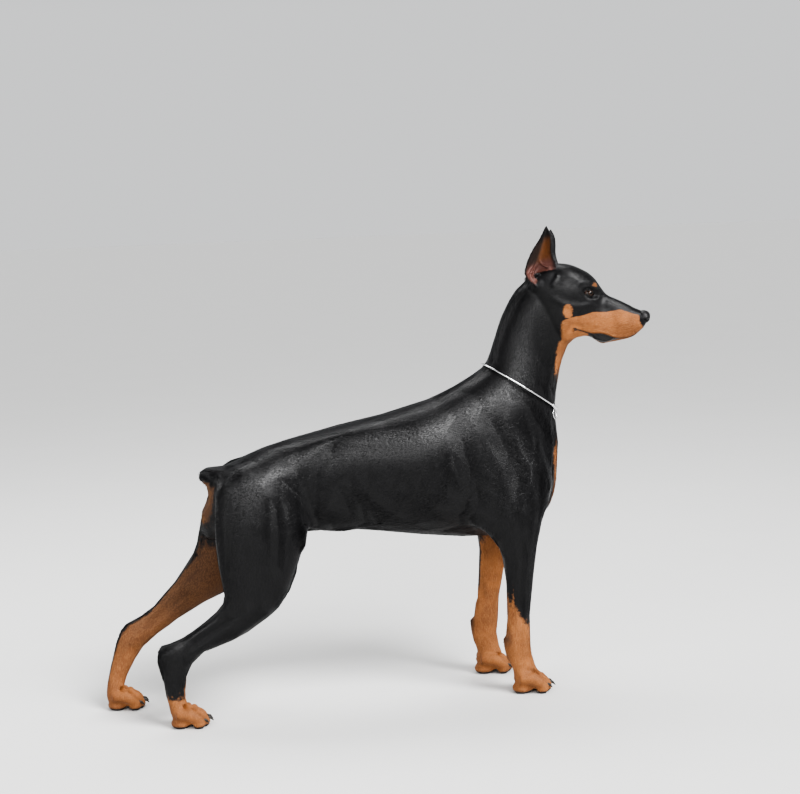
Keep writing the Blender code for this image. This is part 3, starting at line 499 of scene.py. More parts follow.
# Folds inside the ear: a radius, and a line of (across the leaf, up the leaf, off its inner face).
EAR_FOLDS = [
    (0.0030, [(0.10, 0.10, 0.004), (0.22, 0.20, 0.006), (0.36, 0.30, 0.004), (0.46, 0.42, 0.001)]),
    (0.0032, [(0.86, 0.06, 0.004), (0.72, 0.14, 0.007), (0.58, 0.20, 0.006), (0.46, 0.30, 0.003)]),
    (0.0024, [(0.95, 0.20, 0.002), (0.78, 0.27, 0.005), (0.62, 0.36, 0.003), (0.55, 0.50, 0.001)]),
    (0.0042, [(0.30, 0.02, 0.009), (0.50, 0.05, 0.012), (0.72, 0.02, 0.009)]),
]
EAR_ROWS = 10               # rows of the leaf for each point of its edges
EAR_COLUMNS = 41
FOLD_STEPS = 6


def ear_leaf(side):
    """Rows of points of the leaf's outer skin from root to tip, and the way to its inner face."""
    front, back, outer = (smooth_rows(edge, EAR_ROWS) for edge in (EAR_FRONT, EAR_BACK, EAR_OUTER))
    bend = 2 * back - (front + outer) / 2
    across = np.linspace(0, 1, EAR_COLUMNS)[None, :, None]
    leaf = ((1 - across) ** 2 * front[:, None] + 2 * across * (1 - across) * bend[:, None]
            + across ** 2 * outer[:, None])
    inward = np.cross(np.gradient(leaf, axis=1), np.gradient(leaf, axis=0))
    inward /= np.linalg.norm(inward, axis=2, keepdims=True)
    tall = 1.0 if side < 0 else LEFT_EAR_HEIGHT
    root = EAR_OUTER[0][2]
    leaf[..., 2] = root + (leaf[..., 2] - root) * tall
    return leaf, inward


def make_ear(side):
    """The clay of one ear, with its folds."""
    leaf, inward = ear_leaf(side)
    rows, columns = leaf.shape[:2]
    edge = np.sin(np.linspace(0, math.pi, columns))[None, :, None] ** 0.35
    thick = np.linspace(EAR_THICKNESS, EAR_TIP, rows)[:, None, None] * (0.85 + 0.15 * edge)
    inner = leaf + inward * thick
    rings = [[on_head(x, side * y, z) for x, y, z in (*row, *under[::-1])]
             for row, under in zip(leaf, inner)]
    made = [loft("ear", rings, folded=True)]
    for radius, line in EAR_FOLDS:
        points = []
        for across, up, off in line:
            row, column = round(up * (rows - 1)), round(across * (columns - 1))
            x, y, z = leaf[row, column] + inward[row, column] * off
            points.append(on_head(x, side * y, z))
        radii = [radius * share for share in np.linspace(1.0, 0.6, len(points))]
        fold = smooth_rows([[*point, thin] for point, thin in zip(points, radii)], FOLD_STEPS)
        made.append(tapered_rod("ear_fold", [step[:3] for step in fold], [step[3] for step in fold]))
    return made


# The head's clay: the skull's loft with the ears set on two mounds, on a copy of the neck's top.
# It is remeshed finer than the body and joined on just above the collar.
SKIN_VOXEL = 0.0020
HEAD_VOXEL = 0.0010
CLAY_ROUNDS = 4                            # rounds of smoothing on the fine clay
NECK_CUT = Vector((0.262, 0.0, 0.655))
NECK_AXIS = Vector((0.565, 0.0, 0.825)).normalized()
NECK_OVERLAP = 0.03                        # the head's clay goes this far below the cut
EAR_ROOT = (0.024, 0.030, 0.842)
EAR_ROOT_RADII = (0.024, 0.016, 0.018)


def ear_root(side):
    """The mound of clay that an ear stands on."""
    forward, out, height = EAR_ROOT
    made = ball("ear_root", (0, 0, 0), EAR_ROOT_RADII)
    turn = Matrix.Rotation(-HEAD_TURN, 4, "Z")
    made.data.transform(Matrix.Translation(on_head(forward, side * out, height)) @ turn)
    return made


def cut_off(shape, place, **cleared):
    """Cuts a shape across the neck, and clears one side of the cut."""
    bmesh.ops.bisect_plane(shape, geom=shape.verts[:] + shape.edges[:] + shape.faces[:], dist=1e-6,
                           plane_co=place, plane_no=NECK_AXIS, **cleared)


skull = [[on_head(point.x, point.y, point.z) for point in oval(station, SKULL_POINTS)]
         for station in smooth_rows(HEAD, SKULL_STEPS)]
shape = bmesh.new()
shape.from_mesh(rough.data)
cut_off(shape, NECK_CUT - NECK_AXIS * NECK_OVERLAP, clear_inner=True)
bmesh.ops.holes_fill(shape, edges=[edge for edge in shape.edges if edge.is_boundary], sides=0)
bmesh.ops.recalc_face_normals(shape, faces=shape.faces)
details = [add_object("neck_top", shape), loft("skull", skull)]
for side in (-1, 1):
    details.append(ear_root(side))
    details += make_ear(side)
head_skin = fuse("head_skin", details, HEAD_VOXEL, CLAY_ROUNDS)

fore_left = (FORE_PAW[0] - LEFT_FORE_SET_BACK, FORE_PAW[1])
# Each paw's place, side and size.
PAWS = {"fore_right": (FORE_PAW, -1, PAW_SCALE_FRONT), "fore_left": (fore_left, 1, PAW_SCALE_FRONT),
        "hind_right": (RIGHT_HIND_PAW, -1, PAW_SCALE_HIND),
        "hind_left": (LEFT_HIND_PAW, 1, PAW_SCALE_HIND)}
details = [rough]
for name, (at, side, scale) in PAWS.items():
    details += paw_clay(name, at, side, scale)
body_skin = fuse("body_skin", details, SKIN_VOXEL, CLAY_ROUNDS)


# The skin: one hide all over, thin and close to the muscles, so that bones, muscles and tendons
# show through it. Here the body's and the finer head's clay are joined into it with no seam.
def join_skins(body, head):
    """Cuts both at the neck and bridges them."""
    shape = bmesh.new()
    shape.from_mesh(body.data)
    cut_off(shape, NECK_CUT, clear_outer=True)
    upper = bmesh.new()
    upper.from_mesh(head.data)
    cut_off(upper, NECK_CUT + NECK_AXIS * HEAD_VOXEL, clear_inner=True)
    cut_head = bpy.data.meshes.new("cut_head")
    upper.to_mesh(cut_head)
    upper.free()
    shape.from_mesh(cut_head)
    bmesh.ops.bridge_loops(shape, edges=[edge for edge in shape.edges if edge.is_boundary])
    bmesh.ops.recalc_face_normals(shape, faces=shape.faces)
    for obj in (body, head):
        bpy.data.objects.remove(obj)
    return add_object("skin", shape)


skin = join_skins(body_skin, head_skin)


def places(mesh):
    """The vertices' places as an array."""
    found = np.empty(3 * len(mesh.vertices), np.float32)
    mesh.vertices.foreach_get("co", found)
    return found.reshape(-1, 3).astype(float)


def ways_out(mesh):
    """The vertices' normals as an array."""
    found = np.empty(3 * len(mesh.vertices), np.float32)
    mesh.vertex_normals.foreach_get("vector", found)
    return found.reshape(-1, 3).astype(float)


def put(mesh, found):
    """Moves the vertices to the places."""
    mesh.vertices.foreach_set("co", found.astype(np.float32).ravel())
    mesh.update()


def in_head(found):
    """Places in the head's own frame: forward of the pivot, out to the left, height."""
    x, y = found[:, 0] - HEAD_PIVOT_X, found[:, 1]
    return np.stack([x * math.cos(HEAD_TURN) - y * math.sin(HEAD_TURN),
                     x * math.sin(HEAD_TURN) + y * math.cos(HEAD_TURN), found[:, 2]], 1)


def fall(distance, width):
    """A soft bell: 1 in the middle, 0 from about two widths out."""
    return np.exp(-(distance / width) ** 2)


def ramp(value, start, end):
    """Smoothly from 0 at start to 1 at end."""
    share = np.clip((value - start) / (end - start), 0.0, 1.0)
    return share * share * (3 - 2 * share)


def from_line(found, line):
    """Each place's distance from a line of points, and its share of the way along the line."""
    line = np.array([tuple(point) for point in line])
    steps = np.linalg.norm(np.diff(line, axis=0), axis=1)
    travelled = np.concatenate([[0], np.cumsum(steps)]) / max(steps.sum(), 1e-9)
    nearest = np.full(len(found), np.inf)
    share = np.zeros(len(found))
    for number, (start, end) in enumerate(zip(line, line[1:])):
        along = end - start
        part = np.clip((found - start) @ along / (along @ along), 0, 1)
        distance = np.linalg.norm(found - start - part[:, None] * along, axis=1)
        closer = distance < nearest
        nearest[closer] = distance[closer]
        passed = travelled[number] + part * (travelled[number + 1] - travelled[number])
        share[closer] = passed[closer]
    return nearest, share


def stroke(lift, found, line, width, height, taper=0.2):
    """Adds a ridge, or with a negative height a groove, along a line. It fades out at both ends."""
    line = np.array([tuple(point) for point in line])
    near = ((found > line.min(0) - 3 * width) & (found < line.max(0) + 3 * width)).all(1)
    if not near.any():
        return
    distance, share = from_line(found[near], line)
    length = np.linalg.norm(np.diff(line, axis=0), axis=1).sum()
    ends = 1.0
    if length > 5 * width:
        taper = max(taper, 1.6 * width / length)
        ends = ramp(share, -0.02, taper) * ramp(1 - share, -0.02, taper)
    lift[near] += height * fall(distance, width) * ends


def mound(lift, found, middle, width, height):
    """Adds a round rise, or with a negative height a dimple."""
    near = (np.abs(found - np.array(tuple(middle))) < 3 * width).all(1)
    distance = np.linalg.norm(found[near] - np.array(tuple(middle)), axis=1)
    lift[near] += height * fall(distance, width)


def even_out(obj, weight, rounds):
    """Smooths the skin, more where the weight is nearer 1."""
    found = places(obj.data)
    pairs = np.empty(2 * len(obj.data.edges), np.int32)
    obj.data.edges.foreach_get("vertices", pairs)
    pairs = pairs.reshape(-1, 2)
    moving = weight > 0.01
    ends, others = np.concatenate([pairs, pairs[:, ::-1]]).T
    ends, others = ends[moving[ends]], others[moving[ends]]
    count = np.bincount(ends, minlength=len(found)).clip(1)[:, None]
    for _ in range(rounds):
        sums = [np.bincount(ends, found[others, axis], len(found)) for axis in range(3)]
        mean = np.stack(sums, 1) / count
        found[moving] += ((mean - found) * weight[:, None])[moving] * 0.6
    put(obj.data, found)


def side_line(tree, side, line):
    """Points of the side view, (x, z), put on the skin of that side."""
    found = []
    for x, z in line:
        hit = tree.ray_cast(Vector((x, side * 0.3, z)), Vector((0, -side, 0)))[0]
        found.append(hit or tree.find_nearest(Vector((x, side * 0.06, z)))[0])
    return found


def head_line(tree, side, line):
    """Points of the head's own side view, (forward, height), put on the skin of that side."""
    found = []
    for forward, height in line:
        start = on_head(forward, side * 0.15, height)
        way = (on_head(forward, 0, height) - start).normalized()
        hit = tree.ray_cast(start, way)[0]
        found.append(hit or tree.find_nearest(on_head(forward, side * 0.03, height))[0])
    return found


def leg_line(tree, stations, side, line, lean=None):
    """Points along a leg, (station, how far to its front edge, out or in), put on the skin."""
    stations = np.array(stations)
    found = []
    for station, front, out in line:
        row = [np.interp(station, range(len(stations)), column) for column in stations.T]
        x1, z1, x2, z2, half_width, sideways = row[:6]
        middle = Vector(((x1 + x2) / 2, sideways, (z1 + z2) / 2))
        reach = Vector(((x1 - x2) / 2, 0, (z1 - z2) / 2))
        aside = Vector((0, out * half_width * math.sqrt(1 - front ** 2), 0))
        place = middle + reach * front + aside
        place = Vector((place.x, side * place.y, place.z))
        if lean:
            place = lean(place)
        found.append(tree.find_nearest(place)[0])
    return found


# Where the head's clay meets the neck's, the hide runs on smoothly.
found = in_head(places(skin.data))
jaw_angle = [(-0.010, 0.0, 0.850), (0.008, 0.0, 0.805), (0.030, 0.0, 0.762), (0.056, 0.0, 0.727),
             (0.082, 0.0, 0.712)]
flat = found * np.array([1, 0, 1])
even_out(skin, fall(from_line(flat, jaw_angle)[0], 0.020) * ramp(-found[:, 2], -0.880, -0.850), 70)
even_out(skin, ramp(found[:, 0], 0.02, 0.05) * ramp(-found[:, 2], -0.888, -0.872), 14)
found = places(skin.data)
body = ramp((np.array(NECK_CUT) - found) @ np.array(NECK_AXIS), -0.02, 0.03)
body *= ramp(found[:, 2], 0.30, 0.40)
even_out(skin, body, 40)

# Bones, muscles and tendons that show through the hide, as (line, width, height). A trunk line is
# in the side view, on both sides.
TRUNK_RELIEF = [
    ([(0.168, 0.632), (0.215, 0.540), (0.262, 0.445)], 0.015, 0.0018),
    ([(0.108, 0.610), (0.112, 0.520), (0.130, 0.440), (0.158, 0.372)], 0.022, -0.0038),
    ([(0.190, 0.610), (0.215, 0.560), (0.235, 0.505)], 0.022, 0.0022),
    ([(0.180, 0.480), (0.196, 0.430), (0.205, 0.395)], 0.024, 0.0030),
    ([(0.212, 0.655), (0.268, 0.585), (0.312, 0.500)], 0.018, -0.0028),
    ([(0.300, 0.452), (0.296, 0.436)], 0.022, 0.0022),
    ([(0.228, 0.470), (0.212, 0.420), (0.200, 0.365)], 0.013, -0.0020),
    ([(0.260, 0.480), (0.268, 0.420), (0.256, 0.360)], 0.013, -0.0016),
    ([(0.172, 0.352), (0.164, 0.340)], 0.010, 0.0034),
    ([(0.075, 0.345), (0.010, 0.372), (-0.060, 0.415), (-0.110, 0.470)], 0.017, 0.0017),
    ([(-0.040, 0.372), (-0.110, 0.408), (-0.160, 0.470)], 0.030, -0.0034),
    ([(-0.165, 0.515), (-0.192, 0.470), (-0.200, 0.425)], 0.026, -0.0036),
    ([(-0.095, 0.362), (-0.150, 0.366), (-0.196, 0.384), (-0.214, 0.400)], 0.010, 0.0030),
    ([(-0.186, 0.540), (-0.205, 0.530)], 0.024, 0.0018),
    ([(-0.372, 0.478), (-0.382, 0.470)], 0.014, 0.0030),
    ([(-0.290, 0.480), (-0.300, 0.420), (-0.310, 0.360)], 0.030, 0.0022),
    ([(-0.205, 0.530), (-0.260, 0.510), (-0.330, 0.498)], 0.018, -0.0016),
]
RELIEF = 1.50           # how strongly the body's muscles show under the coat
RIBS = 7
FIRST_RIB_X = 0.088
RIB_STEP = 0.024
for rib in range(RIBS):
    x = FIRST_RIB_X - rib * RIB_STEP
    top = 0.535 - 0.006 * rib
    TRUNK_RELIEF.append(([(x, top), (x - 0.014, 0.470), (x - 0.004, 0.410 + 0.004 * rib)],
                         0.0075, 0.0005))
# A leg line is (station down the leg, share of the way to its front edge, out from its middle).
FORELEG_RELIEF = [
    ([(3.5, 0.1, 1), (6, -0.05, 1), (8.6, -0.1, 1)], 0.006, -0.0014),
    ([(4.5, -0.60, 1), (6.5, -0.62, 1), (9, -0.55, 1)], 0.0042, -0.0024),
    ([(4.5, -0.60, -1), (6.5, -0.62, -1), (9, -0.55, -1)], 0.0042, -0.0020),
    ([(9.6, 0.75, -0.8), (7.5, 0.55, -1), (5.5, 0.70, -0.8), (4, 0.9, 0.2)], 0.0026, 0.0010),
    ([(8.8, 0.95, 0), (9.8, 0.95, 0)], 0.010, 0.0016),
    ([(8.6, 0.3, 1), (9.5, 0.25, 1)], 0.009, 0.0014),
    ([(9.7, -0.95, 0.3), (10.3, -0.95, 0.3)], 0.0065, 0.0040),
    ([(10.9, 0.55, 1), (12.2, 0.60, 1), (13.0, 0.65, 1)], 0.0030, -0.0010),
    ([(10.9, -0.1, 1), (12.2, -0.1, 1), (13.2, 0.0, 1)], 0.0032, -0.0012),
]
HINDLEG_RELIEF = [
    ([(1.5, 0.30, 1), (3, 0.34, 1), (4.5, 0.42, 1), (5.6, 0.5, 1)], 0.010, -0.0028),
    ([(1.2, -0.55, 1), (3, -0.62, 1), (5, -0.68, 1), (6.2, -0.7, 1)], 0.009, -0.0026),
    ([(1.2, -0.55, -1), (3, -0.62, -1), (5, -0.68, -1)], 0.010, -0.0022),
    ([(3.0, 0.85, 0.6), (3.7, 0.90, 0.6)], 0.012, 0.0030),
    ([(4.6, 0.93, 0.2), (6.5, 0.90, -0.2), (8.5, 0.85, -0.4)], 0.0060, 0.0022),
    ([(8.6, -0.42, 1), (10, -0.30, 1), (11.6, -0.25, 1), (12.6, -0.1, 1)], 0.0075, -0.0050),
    ([(8.6, -0.42, -1), (10, -0.30, -1), (11.6, -0.25, -1), (12.6, -0.1, -1)], 0.0075, -0.0050),
    ([(10.5, -0.2, 1), (8.8, 0.0, 1), (7.4, -0.25, 1), (6.2, -0.1, 1)], 0.0028, 0.0013),
    ([(12.6, 0.45, 1), (13.3, 0.40, 1)], 0.0080, 0.0022),
    ([(12.6, 0.45, -1), (13.3, 0.40, -1)], 0.0080, 0.0022),
    ([(13.4, -0.9, 0.2), (12.9, -0.95, 0)], 0.0080, 0.0020),
    ([(14.2, -0.25, 1), (15.6, -0.25, 1), (17, -0.15, 1)], 0.0036, -0.0018),
    ([(14.2, -0.25, -1), (15.6, -0.25, -1), (17, -0.15, -1)], 0.0036, -0.0016),
    ([(14.4, 0.65, 1), (16, 0.60, 1), (17.6, 0.6, 1)], 0.0028, -0.0010),
]
# A head line is in the head's own side view, (forward, height), on both sides. The closed lips meet
# along LIP_LINE, where the upper lip overhangs the lower jaw.
LIP_LINE = [(0.090, 0.7530), (0.101, 0.7495), (0.114, 0.7440), (0.129, 0.7400), (0.142, 0.7408),
            (0.152, 0.7385), (0.162, 0.7345), (0.172, 0.7300), (0.184, 0.7285), (0.200, 0.7305),
            (0.214, 0.7350), (0.226, 0.7430), (0.235, 0.7540)]
HEAD_RELIEF = [
    ([(0.098, 0.842), (0.114, 0.849), (0.130, 0.845), (0.142, 0.833)], 0.0070, 0.0020),
    ([(0.086, 0.850), (0.070, 0.858), (0.055, 0.862)], 0.0120, -0.0026),
    ([(0.134, 0.806), (0.112, 0.799), (0.088, 0.801), (0.062, 0.811), (0.044, 0.824)],
     0.0072, 0.0024),
    ([(0.076, 0.776), (0.066, 0.764)], 0.0200, 0.0030),
    ([(0.102, 0.792), (0.098, 0.776), (0.092, 0.760), (0.080, 0.742)], 0.0060, -0.0018),
    ([(0.150, 0.812), (0.150, 0.798), (0.162, 0.790)], 0.0100, -0.0026),
    ([(0.152, 0.815), (0.180, 0.800), (0.208, 0.787)], 0.0040, -0.0010),
    ([(0.188, 0.762), (0.206, 0.757)], 0.0120, 0.0018),
    (LIP_LINE, 0.0017, -0.0030),
    ([(forward, height + 0.0042) for forward, height in LIP_LINE[2:-2]], 0.0030, 0.0010),
    ([(0.126, 0.7315), (0.138, 0.7300), (0.150, 0.7270), (0.162, 0.7262), (0.170, 0.7262)],
     0.0046, 0.0042),
    ([(0.0975, 0.7560), (0.0920, 0.7500), (0.0930, 0.7420)], 0.0030, 0.0014),
    ([(0.1080, 0.7560), (0.0990, 0.7600), (0.0900, 0.7600)], 0.0040, -0.0012),
    ([(0.070, 0.726), (0.092, 0.735), (0.112, 0.735)], 0.0060, 0.0016),
    ([(0.062, 0.868), (0.055, 0.852), (0.047, 0.838)], 0.0050, 0.0022),
]
# Lines along the head's middle, (forward, out, height): brow furrow, bridge and upper lip.
MID_RELIEF = [
    ([(0.152, 0, 0.830), (0.134, 0, 0.856), (0.108, 0, 0.877), (0.080, 0, 0.886)], 0.0070, -0.0014),
    ([(0.160, 0.013, 0.820), (0.190, 0.011, 0.804), (0.214, 0.010, 0.792)], 0.0050, 0.0009),
    ([(0.160, -0.013, 0.820), (0.190, -0.011, 0.804), (0.214, -0.010, 0.792)], 0.0050, 0.0009),
    ([(0.240, 0, 0.757), (0.238, 0, 0.748)], 0.0016, -0.0016),
]


def tree_of(mesh):
    """The mesh as a tree that rays and nearest places are looked up in."""
    shape = bmesh.new()
    shape.from_mesh(mesh)
    tree = BVHTree.FromBMesh(shape)
    shape.free()
    return tree


hide = tree_of(skin.data)
found = places(skin.data)
lift = np.zeros(len(found))
for side in (-1, 1):
    for line, width, height in TRUNK_RELIEF:
        stroke(lift, found, side_line(hide, side, smooth_rows(line, 3)), width, height * RELIEF)
    for line, width, height in HEAD_RELIEF:
        stroke(lift, found, head_line(hide, side, smooth_rows(line, 3)), width, height)
    fore_lean = left_lean if side > 0 else None
    for line, width, height in FORELEG_RELIEF:
        on = leg_line(hide, FORELEG, side, smooth_rows(line, 3), fore_lean)
        stroke(lift, found, on, width, height * RELIEF)
    hindleg = LEFT_HIND_LEG if side > 0 else RIGHT_HIND_LEG
    for line, width, height in HINDLEG_RELIEF:
        on = leg_line(hide, hindleg, side, smooth_rows(line, 3))
        stroke(lift, found, on, width, height * RELIEF)
for line, width, height in MID_RELIEF:
    on = [hide.find_nearest(on_head(*point))[0] for point in smooth_rows(line, 3)]
    stroke(lift, found, on, width, height)
# The teats, (x, z), stand in two rows; under the tail is one fold.
TEATS = ((-0.130, 0.347), (-0.044, 0.339), (0.035, 0.327))
TEAT_ASIDE = 0.034
for side in (-1, 1):
    for x, z in TEATS:
        teat = hide.find_nearest(Vector((x, side * TEAT_ASIDE, z)))[0]
        mound(lift, found, teat, 0.0036, 0.0034)
fold = [hide.find_nearest(Vector(point))[0] for point in ((-0.424, 0, 0.380), (-0.412, 0, 0.356))]
stroke(lift, found, fold, 0.0110, 0.0055)
put(skin.data, found + lift[:, None] * ways_out(skin.data))
even_out(skin, 0.7 * body, 6)
# The lower jaw sits a little inside the upper lip.
found = places(skin.data)
head = in_head(found)
below = np.interp(head[:, 0], *np.array(LIP_LINE).T) - head[:, 2]
tuck = 0.0034 * ramp(below, 0.0, 0.0020) * ramp(head[:, 0], 0.120, 0.150) * (head[:, 2] > 0.70)
tuck *= 1 - 0.75 * fall(head[:, 0] - 0.150, 0.018)
put(skin.data, found - tuck[:, None] * ways_out(skin.data) * (np.abs(head[:, 1:2]) > 0.003))
jaw = ramp(below, 0.0008, 0.0030) * ramp(head[:, 0], 0.10, 0.12) * (head[:, 2] > 0.70)
even_out(skin, 0.8 * jaw, 14)

# Eyelids: thin folds of skin that close round the eyeball. Each edge is an almond, raised by the
# lid's thickness over the ball, with a wall behind it that dives under the ball.
EYE_PLACE = (0.1205, 0.0297, 0.8240)
EYE_RADIUS = 0.0108
EYE_FACING = (math.radians(50), math.radians(6))     # out from straight ahead, and up
EYE_TILT = math.radians(14)                          # the inner corner is lower than the outer
LID_HALF_LENGTH = 0.0130
LID_RISE = 0.0045
LID_DROP = 0.0041
LID_THICKNESS = 0.0013
LID_REACH = 0.0095           # from the lids' edges to where the face is left as it was
LID_SNAP = 0.00024           # vertices nearer than this are put right on the edge


def eye_frame(side):
    """The eyeball's middle, and the ways towards the nose, up and out of the socket."""
    out, up = EYE_FACING
    forward, aside, rise = math.cos(out) * math.cos(up), math.sin(out) * math.cos(up), math.sin(up)
    facing = on_head(forward, side * aside, rise) - on_head(0, 0, 0)
    inward = Vector((0, 0, 1)).cross(facing).normalized() * side * -1
    across = (inward * math.cos(EYE_TILT) - Vector((0, 0, 1)) * math.sin(EYE_TILT)).normalized()
    across = (across - facing * across.dot(facing)).normalized()
    rise = facing.cross(across) * side
    if rise.z < 0:
        rise = -rise
    middle = on_head(EYE_PLACE[0], side * EYE_PLACE[1], EYE_PLACE[2])
    return middle, across, rise, facing


def almond(along, above):
    """How far a place in the opening's plane is outside the lids' edges, and the way out."""
    found, ways = [], []
    for height, sign in ((LID_RISE, 1), (LID_DROP, -1)):
        radius = (LID_HALF_LENGTH ** 2 + height ** 2) / (2 * height)
        centre = sign * (height - radius)
        reach = np.hypot(along, above - centre)
        found.append(reach - radius)
        ways.append(np.stack([along, above - centre], 1) / np.maximum(reach, 1e-9)[:, None])
    upper = found[0] > found[1]
    return np.where(upper, *found), np.where(upper[:, None], *ways)


def finer_near(obj, middles, reach):
    """Splits the faces near some places in four."""
    shape = bmesh.new()
    shape.from_mesh(obj.data)
    near = [edge for edge in shape.edges
            if any((edge.verts[0].co - middle).length < reach for middle in middles)]
    bmesh.ops.subdivide_edges(shape, edges=near, cuts=1, use_grid_fill=True)
    bmesh.ops.triangulate(shape, faces=[face for face in shape.faces if len(face.verts) > 4])
    shape.to_mesh(obj.data)
    shape.free()


def shape_lids(obj, side):
    """Lays the skin round one eye over the eyeball, with an opening between the lids."""
    middle, across, rise, facing = (np.array(way) for way in eye_frame(side))
    found = places(obj.data)
    from_eye = found - middle
    along, above, depth = from_eye @ across, from_eye @ rise, from_eye @ facing
    near = (np.linalg.norm(from_eye, axis=1) < 0.030) & (depth > -0.006)
    outside, way = almond(along[near], above[near])
    along, above, depth = along[near], above[near], depth[near]
    snap = np.abs(outside) < LID_SNAP
    along = along - np.where(snap, outside * way[:, 0], 0)
    above = above - np.where(snap, outside * way[:, 1], 0)
    outside = np.where(snap, 0, outside)
    apart = np.hypot(along, above)
    globe = np.sqrt(np.maximum(EYE_RADIUS ** 2 - np.minimum(apart, 0.96 * EYE_RADIUS) ** 2, 0))
    lid = globe + LID_THICKNESS + 0.0006 * ramp(outside, 0.0, 0.003)
    share = 1 - ramp(outside, 0.0008, LID_REACH)
    shaped = depth + (lid - depth) * share
    shaped -= 0.0007 * fall(outside - 0.0052, 0.0016) * ramp(above, 0.0, 0.004)
    inside = np.minimum(globe - 0.0022, depth)
    shaped = np.where(outside < 0, lid + (inside - lid) * ramp(-outside, 0.0, 0.0008), shaped)
    found[near] = (middle + along[:, None] * across + above[:, None] * rise
                   + shaped[:, None] * facing)
    put(obj.data, found)


for reach in (0.024, 0.018):
    finer_near(skin, [eye_frame(side)[0] for side in (-1, 1)], reach)
for side in (-1, 1):
    shape_lids(skin, side)

# Paws: cat-like, with four arched toes close together on leathery pads. The pastern runs smoothly
# into them, the gaps between them are pressed in, and the knuckles are raised.
TOE_GAPS = ((-0.0146, 0.047), (0.0, 0.059), (0.0146, 0.047))    # sideways, and how far forward
GAP_WIDTH = 0.0041
GAP_DEPTH = 0.0120
# A toe's two knuckles: back from its tip, height, width and rise.
KNUCKLES = ((0.019, 0.044, 0.0062, 0.0034), (0.001, 0.024, 0.0056, 0.0026))
LOWEST = 0.0014              # the pads' flat undersides, just clear of the floor
for at, side, scale in PAWS.values():
    found = places(skin.data)
    in_paw = (found - np.array([at[0], side * at[1], 0])) / scale
    near = (np.abs(in_paw[:, 0]) < 0.075) & (np.abs(in_paw[:, 1]) < 0.05) & (in_paw[:, 2] < 0.1)
    blend = fall(in_paw[:, 2] - 0.046, 0.016) * ramp(-in_paw[:, 0], -0.026, -0.006) * near
    even_out(skin, np.maximum(blend, 0.35 * near * ramp(-in_paw[:, 2], -0.05, -0.03)), 26)
    found = places(skin.data)
    lift = np.zeros(len(found))
    for aside, reach in TOE_GAPS:
        line = [(reach - 0.040, 0.9 * aside, 0.050), (reach - 0.026, aside, 0.046),
                (reach - 0.010, aside, 0.036), (reach - 0.001, 1.04 * aside, 0.020),
                (reach - 0.003, aside, 0.003)]
        line = [Vector((at[0] + x * scale, side * at[1] + y * scale, z * scale))
                for x, y, z in smooth_rows(line, 3)]
        stroke(lift, found, line, GAP_WIDTH, -GAP_DEPTH, 0.15)
    for aside, reach in TOES:
        for back, height, width, rise in KNUCKLES:
            middle = Vector((at[0] + (reach - back) * scale, side * at[1] + aside * scale,
                             height * scale))
            mound(lift, found, middle, width, rise)
    put(skin.data, found + lift[:, None] * ways_out(skin.data))
low = places(skin.data)
low[:, 2] = np.maximum(low[:, 2], LOWEST)
put(skin.data, low)

# The skin is moved in by the coat's depth, all but the pads, and its mesh is thinned where plain.
COAT_DEPTH = 0.0009
PADS_TOP = 0.012
SKIN_FACES = 190000
found = places(skin.data)
put(skin.data, found - COAT_DEPTH * ways_out(skin.data) * (found[:, 2:] > PADS_TOP))
group = skin.vertex_groups.new(name="keep")
found = in_head(places(skin.data))
fine = (found[:, 0] > -0.01) & (found[:, 2] > 0.70)
low = found[:, 2] < 0.062
group.add(np.flatnonzero(fine).tolist(), 0.35, "REPLACE")
group.add(np.flatnonzero(low).tolist(), 0.45, "REPLACE")
group.add(np.flatnonzero(~fine & ~low).tolist(), 1.0, "REPLACE")
skin.data.calc_loop_triangles()
share = SKIN_FACES / len(skin.data.loop_triangles)
add_modifier(skin, "DECIMATE", ratio=share, vertex_group="keep", use_collapse_triangulate=True)
apply_modifiers(skin)
skin.vertex_groups.clear()

# The markings, the lie of the hair and its length, worked out from each place on the body, and
# shared by skin and coat. Rust hair is on the muzzle, cheeks, brows, throat, forechest, legs, feet
# and under the tail. The rust of the muzzle ends above at MUZZLE_TOP, (forward, height).
MUZZLE_TOP = [(0.060, 0.7600), (0.072, 0.7720), (0.090, 0.7780), (0.110, 0.7800), (0.132, 0.7866),
              (0.158, 0.7850), (0.185, 0.7900), (0.202, 0.7831), (0.226, 0.7760)]


def spot(found, middle, reach):
    """1 inside an oval spot, 0 outside."""
    away = (found - np.array(middle)) / np.array(reach)
    return ramp(-np.linalg.norm(away, axis=1), -1.25, -0.75)


